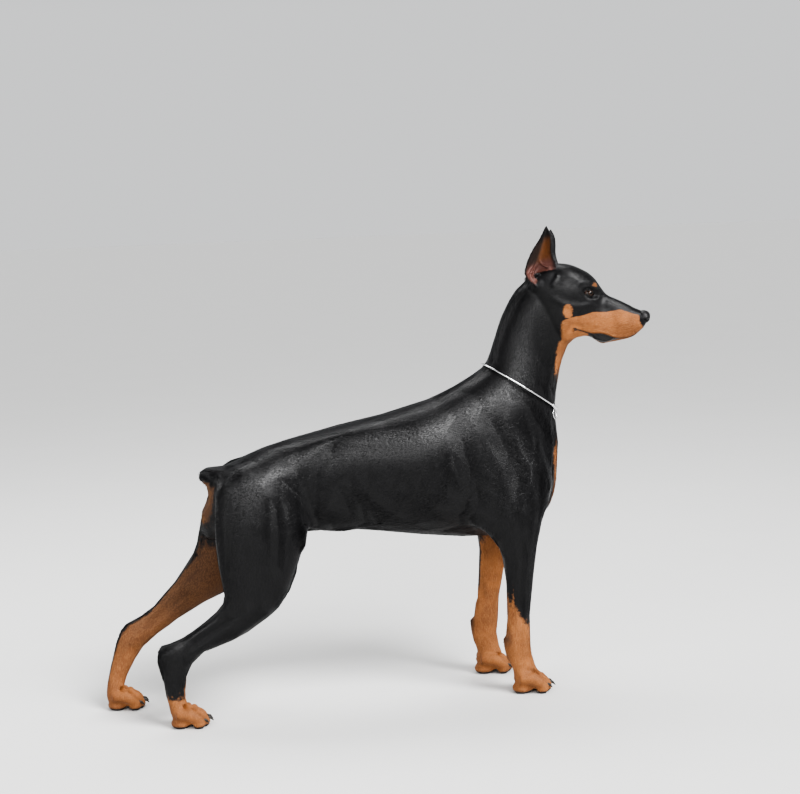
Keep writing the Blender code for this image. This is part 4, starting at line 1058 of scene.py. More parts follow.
def marked(found, normals):
    """How rust each place is, 0 black to 1 rust."""
    head, x, y, z = in_head(found), *found.T
    forward, aside, height = head.T
    aside = np.abs(aside)
    inner = -normals[:, 1] * np.sign(y)
    on_face = ramp(forward, 0.055, 0.075) * (height > 0.70)
    border = np.interp(forward, *np.array(MUZZLE_TOP).T)
    lip = np.interp(forward, *np.array(LIP_LINE).T)
    muzzle = ramp(border - height, -0.003, 0.003) * ramp(forward, 0.058, 0.072)
    muzzle *= ramp(0.2300 - 0.0065 * ramp(height, 0.752, 0.768) - forward, -0.003, 0.003)
    muzzle *= 1 - ramp(lip - height, -0.0010, 0.0004) * ramp(forward, 0.114, 0.124)
    muzzle *= 1 - 0.8 * fall(np.hypot(forward - 0.094, height - 0.7515), 0.0045)
    cheek = spot(head[:, [0, 2]], (0.082, 0.790), (0.0095, 0.0150)) * (aside > 0.02)
    brow = 0.62 * spot(np.stack([forward, aside, height], 1), (0.1300, 0.0220, 0.8400),
                       (0.0115, 0.0090, 0.0062))
    under = (ramp(0.7380 - height, -0.003, 0.006) * ramp(forward, 0.010, 0.030)
             * ramp(-forward, -0.215, -0.200))
    throat = under * ramp(-normals[:, 2] + 0.6 * normals[:, 0], 0.28, 0.58)
    throat *= ramp(height, 0.640, 0.690)
    throat *= 1 - ramp(forward, 0.105, 0.120) * ramp(aside, 0.006, 0.010)
    half_wide = 0.034 * np.sqrt(np.clip((height - 0.645) / 0.085, 0, 1))
    throat *= ramp(half_wide - aside, -0.006, 0.004)
    rust = np.maximum.reduce([muzzle * on_face, cheek * on_face, brow * on_face, throat])
    patch = np.stack([np.abs(y) + 0.10 * (z - 0.46), z], 1)
    chest = spot(patch, (0.031, 0.458), (0.021, 0.070)) * ramp(normals[:, 0], 0.15, 0.35)
    rust = np.maximum(rust, chest)
    fore = (x > 0.10) & (z < 0.35)
    down = 0.150 + 0.030 * ramp(-normals[:, 0], -0.4, 0.6) - 0.012 * ramp(normals[:, 0], 0.2, 0.8)
    leg = ramp(down - z, -0.012, 0.012)
    leg = np.maximum(leg, ramp(inner, 0.05, 0.45) * ramp(-z, -0.315, -0.285))
    rust = np.where(fore, np.maximum(rust, leg), rust)
    hind = (x < -0.17) & (z < 0.45)
    front = (normals[:, 0] * 0.95 + inner * 0.45 + normals[:, 2] * 0.25
             - 0.08 * ramp(-z, -0.20, -0.14))
    shank = ramp(front, 0.26, 0.56) * ramp(-z, -0.235, -0.205) * (x < -0.33)
    foot = ramp(-z, -0.070, -0.052)
    thigh = ramp(inner, 0.30, 0.60) * ramp(-z, -0.36, -0.31) * (x < -0.235)
    rust = np.where(hind, np.maximum.reduce([rust, shank, foot, thigh]), rust)
    vent = spot(found[:, [0, 2]], (-0.410, 0.438), (0.032, 0.042)) * ramp(-normals[:, 0], 0.1, 0.5)
    rust = np.maximum(rust, vent * ramp(-np.abs(y), -0.034, -0.026))
    return rust


STOPPER_PADS = ([0.1885, 0.118], [0.1550, 0.118])     # (x, z) behind the right and left pastern


def bare(found, normals):
    """How much each place is bare, dark, damp skin: the lips' edges, eyelids and pads."""
    head = in_head(found)
    forward, aside, height = head.T
    lip = np.interp(forward, *np.array(LIP_LINE).T)
    dark = fall(height - lip + 0.0004, 0.0016)
    lower_lip = 0.8 * ramp(lip - height, 0.0, 0.001) * ramp(height - lip, -0.014, -0.009)
    dark = np.maximum(dark, lower_lip * ramp(forward, 0.116, 0.126))
    dark *= ramp(forward, 0.086, 0.096) * ramp(np.abs(aside), 0.004, 0.007) * (forward < 0.236)
    for side in (-1, 1):
        middle, across, rise, facing = (np.array(way) for way in eye_frame(side))
        from_eye = found - middle
        outside = almond(from_eye @ across, from_eye @ rise)[0]
        close = (np.linalg.norm(from_eye, axis=1) < 0.03) & (from_eye @ facing > -0.004)
        dark = np.where(close, np.maximum(dark, ramp(-outside, -0.0022, -0.0010)), dark)
    pads = ramp(-found[:, 2], -0.0075, -0.0045) * ramp(-normals[:, 2], 0.0, 0.3)
    right, left = (fall(np.linalg.norm(found[:, [0, 2]] - np.array(place), axis=1), 0.007)
                   for place in STOPPER_PADS)
    stopper = np.where(found[:, 1] < 0, right, left) * ramp(-normals[:, 0], 0.5, 0.8)
    return np.maximum.reduce([dark, pads, stopper])


def in_ear(found):
    """How far inside the ear's hollow each place is, and where up and across the leaf."""
    inside, height, across = np.zeros(len(found)), np.zeros(len(found)), np.zeros(len(found))
    head = in_head(found)
    forward, aside, tall = head.T
    for side in (-1, 1):
        leaf, inward = ear_leaf(side)
        near = np.flatnonzero((aside * side > 0.012) & (tall > 0.835) & (forward < 0.075)
                              & (forward > -0.02))
        outer = leaf.reshape(-1, 3) * (1, side, 1)
        inner = (leaf + inward * EAR_THICKNESS).reshape(-1, 3) * (1, side, 1)
        trees = []
        for points in (outer, inner):
            tree = KDTree(len(points))
            for number, point in enumerate(points):
                tree.insert(point, number)
            tree.balance()
            trees.append(tree)
        for at in near:
            place = head[at]
            _, _, to_outer = trees[0].find(place)
            _, number, to_inner = trees[1].find(place)
            if to_inner < 0.0075 and number >= 3 * leaf.shape[1]:
                row, column = divmod(number, leaf.shape[1])
                edge = min(column, leaf.shape[1] - 1 - column) / leaf.shape[1]
                inner_share = float(np.clip((to_outer - to_inner) / 0.002 + 0.5, 0, 1))
                inside[at] = inner_share * min(1.0, edge * 14)
                height[at] = row / leaf.shape[0]
                across[at] = column / leaf.shape[1]
    return inside, height, across


def lie_of(found):
    """The way the hair lies, and each place's share of head, neck, trunk and legs."""
    head, x, _, z = in_head(found), *found.T
    beyond = (found - np.array(NECK_CUT)) @ np.array(NECK_AXIS)
    on_the_head = ramp(beyond, 0.035, 0.085) * ramp(head[:, 0], -0.01, 0.03)
    on_the_neck = ramp(0.6 * x + z, 0.700, 0.780) * (1 - on_the_head)
    on_leg = ramp(-z, -0.40, -0.34) * (ramp(x, 0.13, 0.16) + ramp(-x, 0.20, 0.23))
    on_trunk = np.clip(1 - on_the_head - on_the_neck - on_leg, 0, 1)
    back = np.array(on_head(-1, 0, -0.05) - on_head(0, 0, 0))
    lie = (on_the_head[:, None] * back + on_the_neck[:, None] * np.array([-0.42, 0, -0.9])
           + on_leg[:, None] * np.array([-0.08, 0, -1.0])
           + on_trunk[:, None] * np.array([-1.0, 0, -0.28]))
    shank = ramp(-z, -0.30, -0.24) * ramp(-x, 0.26, 0.30) * ramp(z, 0.14, 0.18)
    lie += shank[:, None] * np.array([-0.9, 0, 0.1])
    toes = ramp(-z, -0.066, -0.046)[:, None]
    lie = lie * (1 - toes) + toes * np.array([0.85, 0, -0.50])
    standing = ramp(head[:, 2], 0.872, 0.886) * ramp(-head[:, 0], -0.068, -0.056)
    low_rim = ramp(head[:, 2], 0.838, 0.850) * ramp(np.abs(head[:, 1]), 0.034, 0.042)
    low_rim *= ramp(-head[:, 0], -0.060, -0.050) * (head[:, 0] > -0.03)
    standing = np.maximum(standing, low_rim)
    lie = lie * (1 - standing[:, None]) + standing[:, None] * np.array([0.15, 0, 1.0])
    lie /= np.linalg.norm(lie, axis=1, keepdims=True)
    return lie, on_the_head, on_the_neck, on_trunk, on_leg, standing


def keep(mesh, name, values):
    """Stores one number, or one vector, for each vertex."""
    kind, field = ("FLOAT", "value") if values.ndim == 1 else ("FLOAT_VECTOR", "vector")
    layer = mesh.attributes.new(name, kind, "POINT")
    layer.data.foreach_set(field, values.astype(np.float32).ravel())


TRUNK_HAIR = 0.0090
SHORTER = {"head": 0.0046, "face": 0.0012, "leg": 0.0040, "foot": 0.0016, "ear": 0.0018}
SHORTEST_HAIR = 0.0026
found, normals = places(skin.data), ways_out(skin.data)
rust = marked(found, normals)
dark = bare(found, normals)
inside_ear, up_ear, across_ear = in_ear(found)
lie, on_the_head, on_the_neck, on_trunk, on_leg, standing = lie_of(found)
head = in_head(found)
face = ramp(head[:, 0], 0.085, 0.13) * on_the_head
foot = ramp(-found[:, 2], -0.10, -0.05)
hair = (TRUNK_HAIR - SHORTER["head"] * on_the_head - SHORTER["face"] * face
        - SHORTER["leg"] * on_leg - SHORTER["foot"] * foot)
hair = np.maximum(hair - SHORTER["ear"] * standing, SHORTEST_HAIR)
thick = np.clip(1 - dark * 1.5, 0, 1) * (1 - 0.85 * inside_ear)
# Painted shade: the rust is darkened towards brown higher up the hind legs, a little on all the
# legs, and on the top of the head where the brow spots are.
dusk = ramp(found[:, 2], 0.02, 0.24) * ramp(-found[:, 0], 0.30, 0.34) * 0.88
dusk = np.maximum(dusk, 0.16 * on_leg)
dusk = np.maximum(dusk, 0.35 * ramp(head[:, 2], 0.82, 0.83) * on_the_head)
for name, values in {"rust": rust, "dusk": dusk, "dark": dark, "in_ear": inside_ear,
                     "up_ear": up_ear, "across_ear": across_ear, "lie": lie, "out": normals,
                     "on_head": on_the_head, "on_neck": on_the_neck, "on_trunk": on_trunk,
                     "on_leg": np.maximum(on_leg, standing), "hair": hair, "thick": thick}.items():
    keep(skin.data, name, values)


class Finish:
    """Builds one material's nodes."""

    def __init__(self, name):
        self.material = bpy.data.materials.new(name)
        self.material.use_nodes = True
        self.nodes = self.material.node_tree.nodes
        self.shader = self.nodes["Principled BSDF"]
        self.at = self.nodes.new("ShaderNodeTexCoord").outputs["Object"]

    def node(self, kind, inputs, output=0, **settings):
        """Adds a node, gives its inputs values or links, and returns one of its outputs."""
        made = self.nodes.new(kind)
        for setting, value in settings.items():
            setattr(made, setting, value)
        for name, value in inputs.items():
            self.feed(made.inputs[name], value)
        return made.outputs[output]

    def feed(self, socket, value):
        """Links another node's output into the socket, or sets a number or a colour."""
        if isinstance(value, bpy.types.NodeSocket):
            self.material.node_tree.links.new(value, socket)
        elif hasattr(socket.default_value, "__len__") and len(socket.default_value) == 4:
            socket.default_value = (*value, 1.0)
        else:
            socket.default_value = value

    def attribute(self, name):
        return self.node("ShaderNodeAttribute", {}, "Fac", attribute_name=name)

    def math(self, operation, a, b=0.0):
        return self.node("ShaderNodeMath", {0: a, 1: b}, operation=operation)

    def noise(self, scale, detail=3.0, roughness=0.55, stretch=None, turn=None):
        """Noise in metres: scale is how many spots a metre holds."""
        at = self.at
        if stretch:
            at = self.node("ShaderNodeMapping", {"Vector": at, "Rotation": turn or (0, 0, 0)})
            at = self.node("ShaderNodeMapping", {"Vector": at, "Scale": stretch})
        return self.node("ShaderNodeTexNoise", {"Vector": at, "Scale": scale, "Detail": detail,
                                                "Roughness": roughness})

    def ramp(self, value, low, high, bottom=0.0, top=1.0):
        """Smoothly from bottom to top, as the value goes from low to high."""
        return self.node("ShaderNodeMapRange", {"Value": value, "From Min": low, "From Max": high,
                                                "To Min": bottom, "To Max": top},
                         interpolation_type="SMOOTHSTEP")

    def mix(self, share, first, second):
        """A colour between two."""
        made = self.nodes.new("ShaderNodeMix")
        made.data_type = "RGBA"
        for number, value in ((0, share), (6, first), (7, second)):
            self.feed(made.inputs[number], value)
        return made.outputs[2]

    def bump(self, height, distance, strength=1.0, under=None):
        inputs = {"Height": height, "Distance": distance, "Strength": strength}
        if under:
            inputs["Normal"] = under
        return self.node("ShaderNodeBump", inputs)

    def set(self, **inputs):
        """Feeds the shader's own inputs, and returns the finished material."""
        for name, value in inputs.items():
            self.feed(self.shader.inputs[name.replace("_", " ")], value)
        return self.material


BLACK = (0.0030, 0.0029, 0.0032)
BLACK_GREY = (0.0075, 0.0072, 0.0080)
RUST = (0.340, 0.132, 0.044)
RUST_DEEP = (0.205, 0.075, 0.026)
RUST_PALE = (0.500, 0.260, 0.120)
BLACK_TIP = (0.022, 0.021, 0.023)
RUST_IN_SHADE = (0.030, 0.015, 0.009)             # rust darkened to brown, painted shade, most on the hind legs
RUST_IN_SHADE_PALE = (0.085, 0.042, 0.022)
EAR_FLOOR, EAR_FLOOR_DEEP = (0.170, 0.070, 0.055), (0.085, 0.035, 0.028)
EAR_BEFORE, EAR_BEFORE_DEEP = (0.200, 0.078, 0.028), (0.110, 0.042, 0.018)
EAR_BEHIND, EAR_BEHIND_DEEP = (0.055, 0.036, 0.028), (0.024, 0.019, 0.017)
EAR_TOP = (0.014, 0.013, 0.013)
DAMP, DAMP_PALE = (0.008, 0.0075, 0.008), (0.024, 0.021, 0.021)


def coat_finish(name, tuft):
    """Short glossy hair, black and rust, the same on the skin and on its tufts."""
    finish = Finish(name)
    streaks = []
    for share, turn in (("on_head", (0, 0.25, HEAD_TURN)), ("on_neck", (0, 1.15, 0)),
                        ("on_trunk", (0, 0.25, 0)), ("on_leg", (0, 1.5, 0))):
        grain = finish.noise(1.0, 2.0, 0.6, stretch=(90, 900, 900), turn=turn)
        streaks.append(finish.math("MULTIPLY", grain, finish.attribute(share)))
    grain = streaks[0]
    for more in streaks[1:]:
        grain = finish.math("ADD", grain, more)
    soft = finish.noise(24.0, 4.0)
    feather = finish.noise(160.0, 3.0)
    edge = finish.math("ADD", finish.attribute("rust"),
                       finish.math("MULTIPLY", finish.math("SUBTRACT", feather, 0.5), 0.8))
    rust_share = finish.ramp(edge, 0.30, 0.72)
    black = finish.mix(finish.ramp(grain, 0.35, 0.75), BLACK, BLACK_GREY)
    warm = finish.mix(finish.ramp(soft, 0.30, 0.70), RUST_DEEP, RUST)
    warm = finish.mix(finish.ramp(grain, 0.45, 0.80, 0.0, 0.55), warm, RUST_PALE)
    # Painted shade: the rust turns to a dark brown by the share worked out on the skin.
    warm = finish.mix(finish.attribute("dusk"), warm,
                      finish.mix(grain, RUST_IN_SHADE, RUST_IN_SHADE_PALE))
    colour = finish.mix(rust_share, black, warm)
    hollow = finish.mix(finish.noise(70.0), EAR_FLOOR, EAR_FLOOR_DEEP)
    front = finish.mix(finish.noise(120.0), EAR_BEFORE, EAR_BEFORE_DEEP)
    rear = finish.mix(finish.noise(120.0), EAR_BEHIND, EAR_BEHIND_DEEP)
    middle = finish.mix(finish.ramp(finish.attribute("across_ear"), 0.35, 0.60), front, rear)
    up = finish.math("ADD", finish.attribute("up_ear"),
                     finish.math("MULTIPLY", finish.math("SUBTRACT", feather, 0.5), 0.12))
    ear = finish.mix(finish.ramp(up, 0.24, 0.40), hollow, middle)
    ear = finish.mix(finish.ramp(up, 0.62, 0.80), ear, EAR_TOP)
    colour = finish.mix(finish.attribute("in_ear"), colour, ear)
    if tuft:
        tip = finish.attribute("along")
        colour = finish.mix(finish.math("MULTIPLY", tip, 0.22), colour,
                            finish.mix(rust_share, BLACK_TIP, RUST_PALE))
    damp = finish.attribute("dark")
    colour = finish.mix(damp, colour, finish.mix(finish.noise(300.0), DAMP, DAMP_PALE))
    rough = finish.ramp(grain, 0.3, 0.8, 0.31, 0.46)
    rough = finish.math("ADD", rough, finish.math("MULTIPLY", rust_share, 0.32))
    rough = finish.math("SUBTRACT", rough, finish.math("MULTIPLY", damp, 0.06))
    under = finish.bump(finish.noise(420.0, 2.0), 0.0003, 0.25)
    hairs = finish.bump(grain, 0.0010, 0.30 if tuft else 0.75, under)
    finish.set(Base_Color=colour, Roughness=rough, Normal=hairs, Sheen_Weight=0.02,
               Sheen_Roughness=0.45, Sheen_Tint=(0.80, 0.86, 1.0), Specular_IOR_Level=0.34)
    return finish.material


skin.data.materials.clear()
skin.data.materials.append(coat_finish("short coat over skin", False))
skin.data.transform(Matrix.Translation(-ORIGIN))
skin.data.shade_smooth()
FLESH = ("head", "neck", "trunk", "tail", "foreleg_right", "foreleg_left", "hindleg_right",
         "hindleg_left", "ear_right", "ear_left")
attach(skin, "root")
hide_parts(*FLESH)

# Eyes: a wet ball with a dark brown iris under a clear, more curved front. It sits loose in the
# socket, held by the lids.
IRIS = 0.0064
PUPIL = 0.0030
CORNEA = IRIS * 1.12         # the clear front's radius
CORNEA_RISE = 0.0012
PUPIL_BLACK = (0.001, 0.001, 0.001)
IRIS_DARK, IRIS_BROWN = (0.012, 0.005, 0.002), (0.050, 0.019, 0.007)
IRIS_RIM = (0.006, 0.004, 0.003)
EYE_WHITE = (0.050, 0.032, 0.026)        # in the shade of the lids


def make_eyeball(side, word):
    """A ball with a raised front, turned to where the eye looks."""
    middle, across, _, facing = eye_frame(side)
    shape = bmesh.new()
    bmesh.ops.create_uvsphere(shape, u_segments=64, v_segments=48, radius=EYE_RADIUS)
    for vertex in shape.verts:
        away = math.hypot(vertex.co.x, vertex.co.y)
        if vertex.co.z > 0 and away < CORNEA:
            vertex.co.z += CORNEA_RISE * (1 - (away / CORNEA) ** 2)
    away = [math.hypot(*vertex.co.xy) if vertex.co.z > 0 else 1.0 for vertex in shape.verts]
    turn = Matrix((across, facing.cross(across), facing)).transposed().to_4x4()
    shape.transform(Matrix.Translation(middle - ORIGIN) @ turn)
    bmesh.ops.recalc_face_normals(shape, faces=shape.faces)
    eye = add_object(f"eyeball_{word}", shape)
    keep(eye.data, "from_pupil", np.array(away))
    eye.data.shade_smooth()
    return eye


def eye_finish():
    """Pupil, iris with rays, dark rim and dim white, as rings round the middle."""
    finish = Finish("wet brown eye")
    away = finish.attribute("from_pupil")
    rays = finish.noise(900.0, 3.0)
    uneven = finish.math("MULTIPLY", finish.math("SUBTRACT", rays, 0.5), 0.0010)
    away = finish.math("ADD", away, uneven)
    iris = finish.mix(rays, IRIS_DARK, IRIS_BROWN)
    colour = finish.mix(finish.ramp(away, PUPIL - 0.0002, PUPIL + 0.0004), PUPIL_BLACK, iris)
    colour = finish.mix(finish.ramp(away, IRIS - 0.0010, IRIS + 0.0002), colour, IRIS_RIM)
    colour = finish.mix(finish.ramp(away, IRIS + 0.0006, IRIS + 0.0022), colour, EYE_WHITE)
    return finish.set(Base_Color=colour, Roughness=0.06, Coat_Weight=0.25, Coat_Roughness=0.02,
                      Specular_IOR_Level=0.28,
                      Normal=finish.bump(finish.noise(500.0), 0.0001, 0.08))


eye_look = eye_finish()
for side, word in ((-1, "right"), (1, "left")):
    eye = make_eyeball(side, word)
    eye.data.materials.append(eye_look)
    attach(eye, "root")
    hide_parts(f"eye_{word}")

# Nose: bare, damp, pebbled leather over gristle, with a comma-shaped nostril on each side and a
# groove down the middle of its front.
NOSE_PLACE = (0.2310, 0.0, 0.7710)
NOSE_SIZE = (0.0265, 0.0365, 0.0285)
NOSE_TILT = math.radians(14)
# On each side: the nostril, the slit that curls back from it, the wing above and the ridge below.
NOSE_RELIEF = [
    ([(0.0120, 0.0062, 0.0030), (0.0122, 0.0078, -0.0005)], 0.0026, -0.0052),
    ([(0.0118, 0.0085, -0.0020), (0.0085, 0.0135, -0.0045), (0.0040, 0.0165, -0.0030),
      (0.0005, 0.0170, -0.0005)], 0.0014, -0.0036),
    ([(0.0115, 0.0110, 0.0030), (0.0060, 0.0160, 0.0010)], 0.0030, 0.0012),
    ([(0.0110, 0.0060, -0.0085), (0.0060, 0.0120, -0.0090)], 0.0030, 0.0007),
]
nose_shape = bmesh.new()
bmesh.ops.create_cube(nose_shape, size=1.0)
nose = add_object("nose_leather", nose_shape)
add_modifier(nose, "SUBSURF", levels=6, render_levels=6)
apply_modifiers(nose)
found = places(nose.data)
found /= np.linalg.norm(found, axis=1, keepdims=True)
found = np.sign(found) * np.abs(found) ** 0.86
found *= np.array(NOSE_SIZE) / 2
found[:, 1] *= 1 - 0.22 * ramp(-found[:, 2], 0.0, 0.013)
found[:, 0] -= 0.0030 * ramp(-found[:, 2], 0.002, 0.014)
put(nose.data, found)
lift = np.zeros(len(found))
for side in (-1, 1):
    for line, width, height in NOSE_RELIEF:
        stroke(lift, found, [(x, side * y, z) for x, y, z in line], width, height)
stroke(lift, found, [(0.0135, 0, 0.0080), (0.0135, 0, 0.0), (0.0110, 0, -0.0130)], 0.0011, -0.0016)
put(nose.data, found + lift[:, None] * ways_out(nose.data))
turn = Matrix.Rotation(-HEAD_TURN, 4, "Z") @ Matrix.Rotation(NOSE_TILT, 4, "Y")
nose.data.transform(Matrix.Translation(on_head(*NOSE_PLACE) - ORIGIN) @ turn)
nose.data.shade_smooth()
finish = Finish("damp nose leather")
pebbles = finish.node("ShaderNodeTexVoronoi", {"Vector": finish.at, "Scale": 950.0}, "Distance")
nose.data.materials.append(finish.set(
    Base_Color=finish.mix(pebbles, (0.010, 0.009, 0.0095), (0.004, 0.0036, 0.004)),
    Roughness=finish.ramp(finish.noise(260.0), 0.3, 0.7, 0.28, 0.44),
    Normal=finish.bump(pebbles, 0.0005, 0.6), Specular_IOR_Level=0.38))
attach(nose, "root")
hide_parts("nose")

# Claws: curved black horn, satin with fine lines along it, growing out of the end of each toe.
# They are smoothed copies of the claws' own solids, made as one piece.
CLAW_VOXEL = 0.00040
CLAW_ROUNDS = 40
finish = Finish("black horn")
grain = finish.noise(1.0, 3.0, stretch=(150, 1400, 1400), turn=(0, 0.5, 0))
claw_look = finish.set(
    Base_Color=finish.mix(grain, (0.010, 0.009, 0.008), (0.045, 0.038, 0.032)),
    Roughness=finish.ramp(grain, 0.3, 0.8, 0.28, 0.50), Normal=finish.bump(grain, 0.0003, 0.5))


def smoothed_copy(name, nodes, voxel, rounds):
    """One mesh of the frame's own nodes, with their loose triangles merged, and smoothed."""
    shape = bmesh.new()
    for node in nodes:
        shape.from_mesh(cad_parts[node].data)
    bmesh.ops.remove_doubles(shape, verts=shape.verts, dist=0.000005)
    obj = add_object(name, shape)
    obj.data.materials.clear()
    add_modifier(obj, "REMESH", mode="VOXEL", voxel_size=voxel, use_smooth_shade=True)
    add_modifier(obj, "SMOOTH", factor=0.5, iterations=rounds)
    apply_modifiers(obj)
    return obj


claw_nodes = [f"claw_{paw}_{number}" for paw in PAWS for number in (1, 2, 3, 4)]
claws = smoothed_copy("claws", claw_nodes, CLAW_VOXEL, CLAW_ROUNDS)
claws.data.materials.append(claw_look)
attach(claws, "root")
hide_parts(*claw_nodes)

# Collar: a slim metal cord closed by a crimped sleeve, with a soldered ring, worn low on the neck
# and resting where the neck widens. It is a smoothed copy of its own solid.
COLLAR_VOXEL = 0.00055
COLLAR_ROUNDS = 8
finish = Finish("polished silver metal")
scratches = finish.noise(600.0, 4.0)
collar_look = finish.set(
    Base_Color=finish.mix(scratches, (0.62, 0.62, 0.63), (0.80, 0.80, 0.81)), Metallic=1.0,
    Roughness=finish.ramp(scratches, 0.3, 0.7, 0.16, 0.32),
    Normal=finish.bump(scratches, 0.0001, 0.15))
collar = smoothed_copy("collar_and_ring", ["collar"], COLLAR_VOXEL, COLLAR_ROUNDS)
collar.data.materials.append(collar_look)
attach(collar, "root")
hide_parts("collar")

# Coat: short, flat, glossy hair in small tufts rooted in the skin. It is thin over the body and
# stands clear of it along the ridges and edges. Each region is one piece, grown by the same tree.
TUFT_PATCH = 0.003          # how wide a tuft's patch is on the unwrap of the skin
TUFT_SPREAD = 0.09          # how far tufts stray from the lie of the hair
LENGTHS = (0.7, 1.25)       # the shortest and longest tufts, as shares of the hair's length


def one_tuft():
    """A flat lock one metre long, bent down at the tip. Its root is just under the skin."""
    rows = [(0.0, 0.34, -0.035), (0.36, 0.50, 0.040), (0.72, 0.30, 0.060), (1.0, 0.0, 0.048)]
    shape = bmesh.new()
    made = []
    for along, half, rise in rows[:-1]:
        made.append([shape.verts.new((half * side, along, rise)) for side in (-1, 1)])
    tip = shape.verts.new((0, rows[-1][0], rows[-1][2]))
    for near, far in zip(made, made[1:]):
        shape.faces.new((near[0], near[1], far[1], far[0]))
    shape.faces.new((made[-1][0], made[-1][1], tip))
    lock = add_object("one_tuft", shape)
    across, along, _ = places(lock.data).T
    keep(lock.data, "along", along.copy())
    keep(lock.data, "patch", np.stack([across / 1.2, along - 0.5, 0 * across], 1))
    return lock


def coat_tree(lock, finish):
    """The tree that roots locks in the skin and lays them along its hair."""
    tree = bpy.data.node_groups.new("lay the coat", "GeometryNodeTree")
    face = tree.interface
    face.new_socket("Skin", in_out="INPUT", socket_type="NodeSocketGeometry")
    for name in ("Tufts per square metre", "Width of a tuft", "Spread"):
        face.new_socket(name, in_out="INPUT", socket_type="NodeSocketFloat")
    face.new_socket("Seed", in_out="INPUT", socket_type="NodeSocketInt")
    face.new_socket("Coat", in_out="OUTPUT", socket_type="NodeSocketGeometry")

    def node(kind, inputs, **settings):
        made = tree.nodes.new(kind)
        for setting, value in settings.items():
            setattr(made, setting, value)
        for name, value in inputs.items():
            if isinstance(value, bpy.types.NodeSocket):
                tree.links.new(value, made.inputs[name])
            else:
                made.inputs[name].default_value = value
        return made

    def named(name, kind="FLOAT"):
        found = node("GeometryNodeInputNamedAttribute", {"Name": name}, data_type=kind)
        return found.outputs["Attribute"]

    def maths(operation, a, b=None):
        inputs = {0: a} if b is None else {0: a, 1: b}
        return node("ShaderNodeVectorMath", inputs, operation=operation).outputs[0]

    given = tree.nodes.new("NodeGroupInput").outputs
    density = node("ShaderNodeMath", {0: named("thick"), 1: given["Tufts per square metre"]},
                   operation="MULTIPLY").outputs[0]
    roots = node("GeometryNodeDistributePointsOnFaces",
                 {"Mesh": given["Skin"], "Density": density, "Seed": given["Seed"]},
                 distribute_method="RANDOM")
    apart = node("FunctionNodeRandomValue", {"Min": (-1, -1, -1), "Max": (1, 1, 1), "Seed": 5},
                 data_type="FLOAT_VECTOR").outputs[0]
    apart = node("ShaderNodeVectorMath", {0: apart, "Scale": given["Spread"]},
                 operation="SCALE").outputs[0]
    lie = maths("ADD", named("lie", "FLOAT_VECTOR"), apart)
    turn = node("FunctionNodeAxesToRotation",
                {"Primary Axis": named("out", "FLOAT_VECTOR"), "Secondary Axis": lie},
                primary_axis="Z", secondary_axis="Y").outputs[0]
    vary = node("FunctionNodeRandomValue", {2: LENGTHS[0], 3: LENGTHS[1], "Seed": 9},
                data_type="FLOAT").outputs[1]
    length = node("ShaderNodeMath", {0: named("hair"), 1: vary}, operation="MULTIPLY").outputs[0]
    size = node("ShaderNodeCombineXYZ",
                {"X": given["Width of a tuft"], "Y": length, "Z": length}).outputs[0]
    rooted = node("GeometryNodeStoreNamedAttribute",
                  {"Geometry": roots.outputs["Points"], "Name": "root_at",
                   "Value": named("unwrap", "FLOAT_VECTOR")},
                  data_type="FLOAT_VECTOR", domain="POINT").outputs[0]
    shape = node("GeometryNodeObjectInfo", {"Object": lock}).outputs["Geometry"]
    laid = node("GeometryNodeInstanceOnPoints",
                {"Points": rooted, "Instance": shape, "Rotation": turn, "Scale": size}).outputs[0]
    solid = node("GeometryNodeRealizeInstances", {"Geometry": laid}).outputs[0]
    spot_at = node("ShaderNodeVectorMath", {0: named("patch", "FLOAT_VECTOR"), "Scale": TUFT_PATCH},
                   operation="SCALE").outputs[0]
    on_map = maths("ADD", named("root_at", "FLOAT_VECTOR"), spot_at)
    mapped = node("GeometryNodeStoreNamedAttribute",
                  {"Geometry": solid, "Name": "OFBake", "Value": on_map},
                  data_type="FLOAT2", domain="CORNER").outputs[0]
    for name in ("root_at", "patch", "unwrap", "lie", "out", "hair", "thick"):
        mapped = node("GeometryNodeRemoveAttribute", {"Geometry": mapped, "Name": name}).outputs[0]
    dressed = node("GeometryNodeSetMaterial", {"Geometry": mapped, "Material": finish}).outputs[0]
    tree.links.new(dressed, tree.nodes.new("NodeGroupOutput").inputs[0])
    return tree


def region_of(name, chosen):
    """The chosen part of the skin, unwrapped by its own shape."""
    shape = bmesh.new()
    shape.from_mesh(skin.data)
    shape.verts.ensure_lookup_table()
    unwanted = [face for face in shape.faces if not chosen[face.verts[0].index]]
    bmesh.ops.delete(shape, geom=unwanted, context="FACES")
    obj = add_object(name, shape)
    obj.data.uv_layers.new(name="unwrap")
    bpy.context.view_layer.objects.active = obj
    for other in bpy.context.selected_objects:
        other.select_set(False)
    obj.select_set(True)
    bpy.ops.object.mode_set(mode="EDIT")
    bpy.ops.mesh.select_all(action="SELECT")
    bpy.ops.uv.smart_project(angle_limit=math.radians(66), island_margin=0.004)
    bpy.ops.object.mode_set(mode="OBJECT")
    return obj


MOST_TUFTS = 38500         # in one piece
FIRST_SEED = 3
found = places(skin.data) + np.array(ORIGIN)
beyond = (found - np.array(NECK_CUT)) @ np.array(NECK_AXIS)
forelegs = (found[:, 2] < 0.37) & (found[:, 0] > 0.125) & (np.abs(found[:, 1]) > 0.040)
hindquarters = (found[:, 0] < -0.18) & ~forelegs
head_part = (beyond > 0.060) & (in_head(found)[:, 0] > -0.03)
neck_part = ~head_part & ~forelegs & (0.75 * found[:, 0] + found[:, 2] > 0.665)
hind_low = hindquarters & (found[:, 2] < 0.33)
taken = head_part | neck_part | forelegs | hindquarters
ribs = ~taken & (found[:, 0] > -0.005)
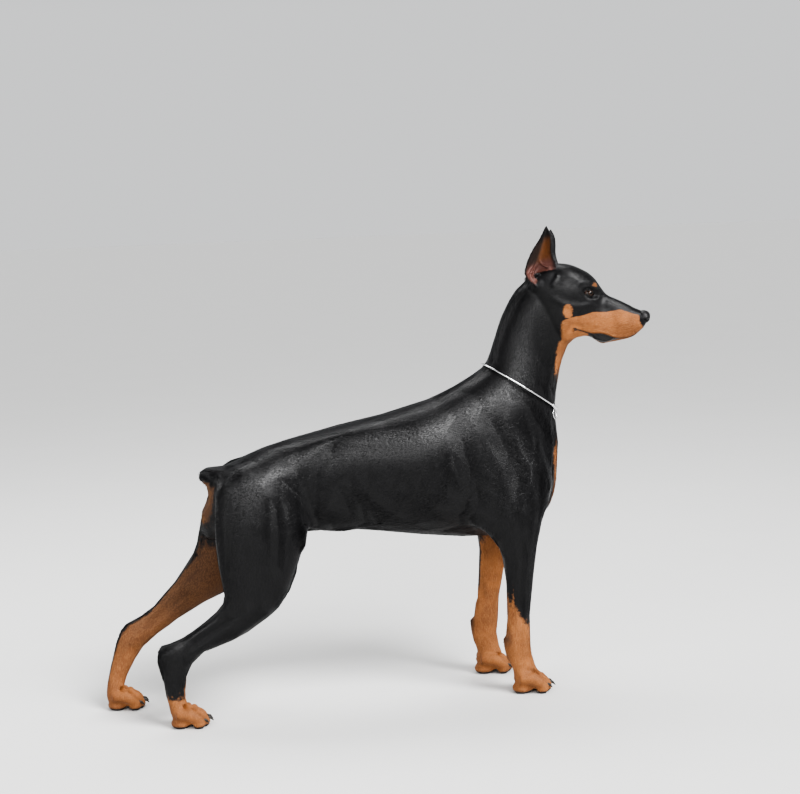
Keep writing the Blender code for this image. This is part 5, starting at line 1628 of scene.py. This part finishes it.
# Each region's part of the skin, its tufts' width, and the most tufts on a square metre.
REGIONS = {"coat_head": (head_part, 0.00090, 380000), "coat_neck": (neck_part, 0.00120, 230000),
           "coat_ribs": (ribs, 0.00130, 230000), "coat_loin": (~taken & ~ribs, 0.00130, 230000),
           "coat_forelegs": (forelegs, 0.00105, 250000),
           "coat_hindquarters": (hindquarters & ~hind_low & ~neck_part, 0.00130, 230000),
           "coat_hindlegs": (hind_low, 0.00110, 230000)}
lock = one_tuft()
hair_look = coat_finish("short hair", True)
growing = coat_tree(lock, hair_look)
sockets = {item.name: item.identifier for item in growing.interface.items_tree}
for seed, (name, (chosen, width, densest)) in enumerate(REGIONS.items()):
    host = region_of(f"{name}_skin", chosen)
    weight = np.array([layer.value for layer in host.data.attributes["thick"].data])
    area = sum(face.area * weight[face.vertices[0]] for face in host.data.polygons)
    modifier = host.modifiers.new("coat", "NODES")
    modifier.node_group = growing
    modifier[sockets["Tufts per square metre"]] = min(MOST_TUFTS / area, float(densest))
    modifier[sockets["Width of a tuft"]] = width
    modifier[sockets["Spread"]] = TUFT_SPREAD
    modifier[sockets["Seed"]] = FIRST_SEED + seed
    bpy.context.view_layer.update()
    graph = bpy.context.evaluated_depsgraph_get()
    grown = bpy.data.meshes.new_from_object(host.evaluated_get(graph))
    host.modifiers.clear()
    bpy.data.objects.remove(host)
    grown.materials.clear()
    grown.materials.append(hair_look)
    coat = add_object(name, grown)
    coat.data.shade_smooth()
    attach(coat, "root")
bpy.data.objects.remove(lock)

# Floor: plain, pale and wide, for looking at the model on. It is part of the room only.
floor_shape = bmesh.new()
bmesh.ops.create_grid(floor_shape, x_segments=1, y_segments=1, size=40.0)
floor = add_object("floor", floor_shape)
finish = Finish("pale floor")
floor.data.materials.append(finish.set(
    Base_Color=finish.mix(finish.noise(3.0), (0.60, 0.60, 0.595), (0.62, 0.62, 0.615)),
    Roughness=0.9))
floor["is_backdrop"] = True

# Light: a pale room, one high wide soft light, and soft boxes that draw long highlights on the
# coat. The room is paler near the floor than overhead, so that black hair has something to reflect.
LIGHTS = [  # place, width, height, power
    ((1.5, -2.4, 2.7), 2.4, 1.0, 62.0),
    ((-2.2, -2.4, 1.8), 1.2, 1.6, 26.0),
    ((0.0, 1.2, 3.0), 2.8, 1.0, 50.0),
    ((-3.0, 1.2, 2.2), 1.5, 1.5, 30.0),
    ((-0.5, -4.2, 2.5), 2.0, 0.7, 75.0),
]
for number, (place, width, height, power) in enumerate(LIGHTS):
    lamp = bpy.data.lights.new(f"soft_box_{number}", "AREA")
    lamp.shape, lamp.size, lamp.size_y, lamp.energy = "RECTANGLE", width, height, power
    box = bpy.data.objects.new(lamp.name, lamp)
    shop.objects.link(box)
    aim = (Vector(place) - Vector((0, 0, 0.45))).to_track_quat("Z", "Y").to_matrix().to_4x4()
    box.matrix_world = Matrix.Translation(place) @ aim
lamp = bpy.data.lights.new("high_light", "SUN")
lamp.energy, lamp.angle = 3.2, math.radians(24)
high = bpy.data.objects.new("high_light", lamp)
shop.objects.link(high)
high.matrix_world = Vector((0.55, -0.75, 1.15)).to_track_quat("Z", "Y").to_matrix().to_4x4()
room = bpy.data.worlds.new("pale room")
room.use_nodes = True
sky = room.node_tree.nodes
facing = sky.new("ShaderNodeTexCoord").outputs["Generated"]
height = sky.new("ShaderNodeSeparateXYZ")
band = sky.new("ShaderNodeMapRange")
for name, value in {"From Min": 0.12, "From Max": 0.50, "To Min": 0.66, "To Max": 0.22}.items():
    band.inputs[name].default_value = value
room.node_tree.links.new(facing, height.inputs[0])
room.node_tree.links.new(height.outputs["Z"], band.inputs["Value"])
room.node_tree.links.new(band.outputs[0], sky["Background"].inputs["Strength"])
sky["Background"].inputs["Color"].default_value = (0.96, 0.97, 0.98, 1.0)
bpy.context.scene.world = room

# Camera: at the picture's angle. Its frame is 800 x 794 pixels.
PICTURE_WIDTH = 800
FOCAL_PIXELS = 1550
CAMERA_AZIMUTH = math.radians(12.0)
CAMERA_PITCH = math.radians(7.3)
CAMERA_ROLL = math.radians(2.0)
CAMERA_AWAY = 3.16
CAMERA_HEIGHT = 1.03
ahead_flat = Vector((math.sin(CAMERA_AZIMUTH), math.cos(CAMERA_AZIMUTH), 0))
level = Vector((math.cos(CAMERA_AZIMUTH), -math.sin(CAMERA_AZIMUTH), 0))
upright = Vector((0, 0, 1))
ahead = ahead_flat * math.cos(CAMERA_PITCH) - upright * math.sin(CAMERA_PITCH)
above = upright * math.cos(CAMERA_PITCH) + ahead_flat * math.sin(CAMERA_PITCH)
right = level * math.cos(CAMERA_ROLL) - above * math.sin(CAMERA_ROLL)
above = above * math.cos(CAMERA_ROLL) + level * math.sin(CAMERA_ROLL)
lens = bpy.data.cameras.new("camera")
lens.sensor_width = 36.0
lens.lens = 36.0 * FOCAL_PIXELS / PICTURE_WIDTH
lens.clip_end = 200.0
camera = bpy.data.objects.new("camera", lens)
shop.objects.link(camera)
stands_at = upright * CAMERA_HEIGHT - ahead_flat * CAMERA_AWAY - ORIGIN
camera.matrix_world = (Matrix.Translation(stands_at)
                       @ Matrix((right, above, -ahead)).transposed().to_4x4())
bpy.context.scene.camera = camera
bpy.context.scene.view_settings.look = "AgX - High Contrast"

bpy.context.view_layer.update()
low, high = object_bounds()
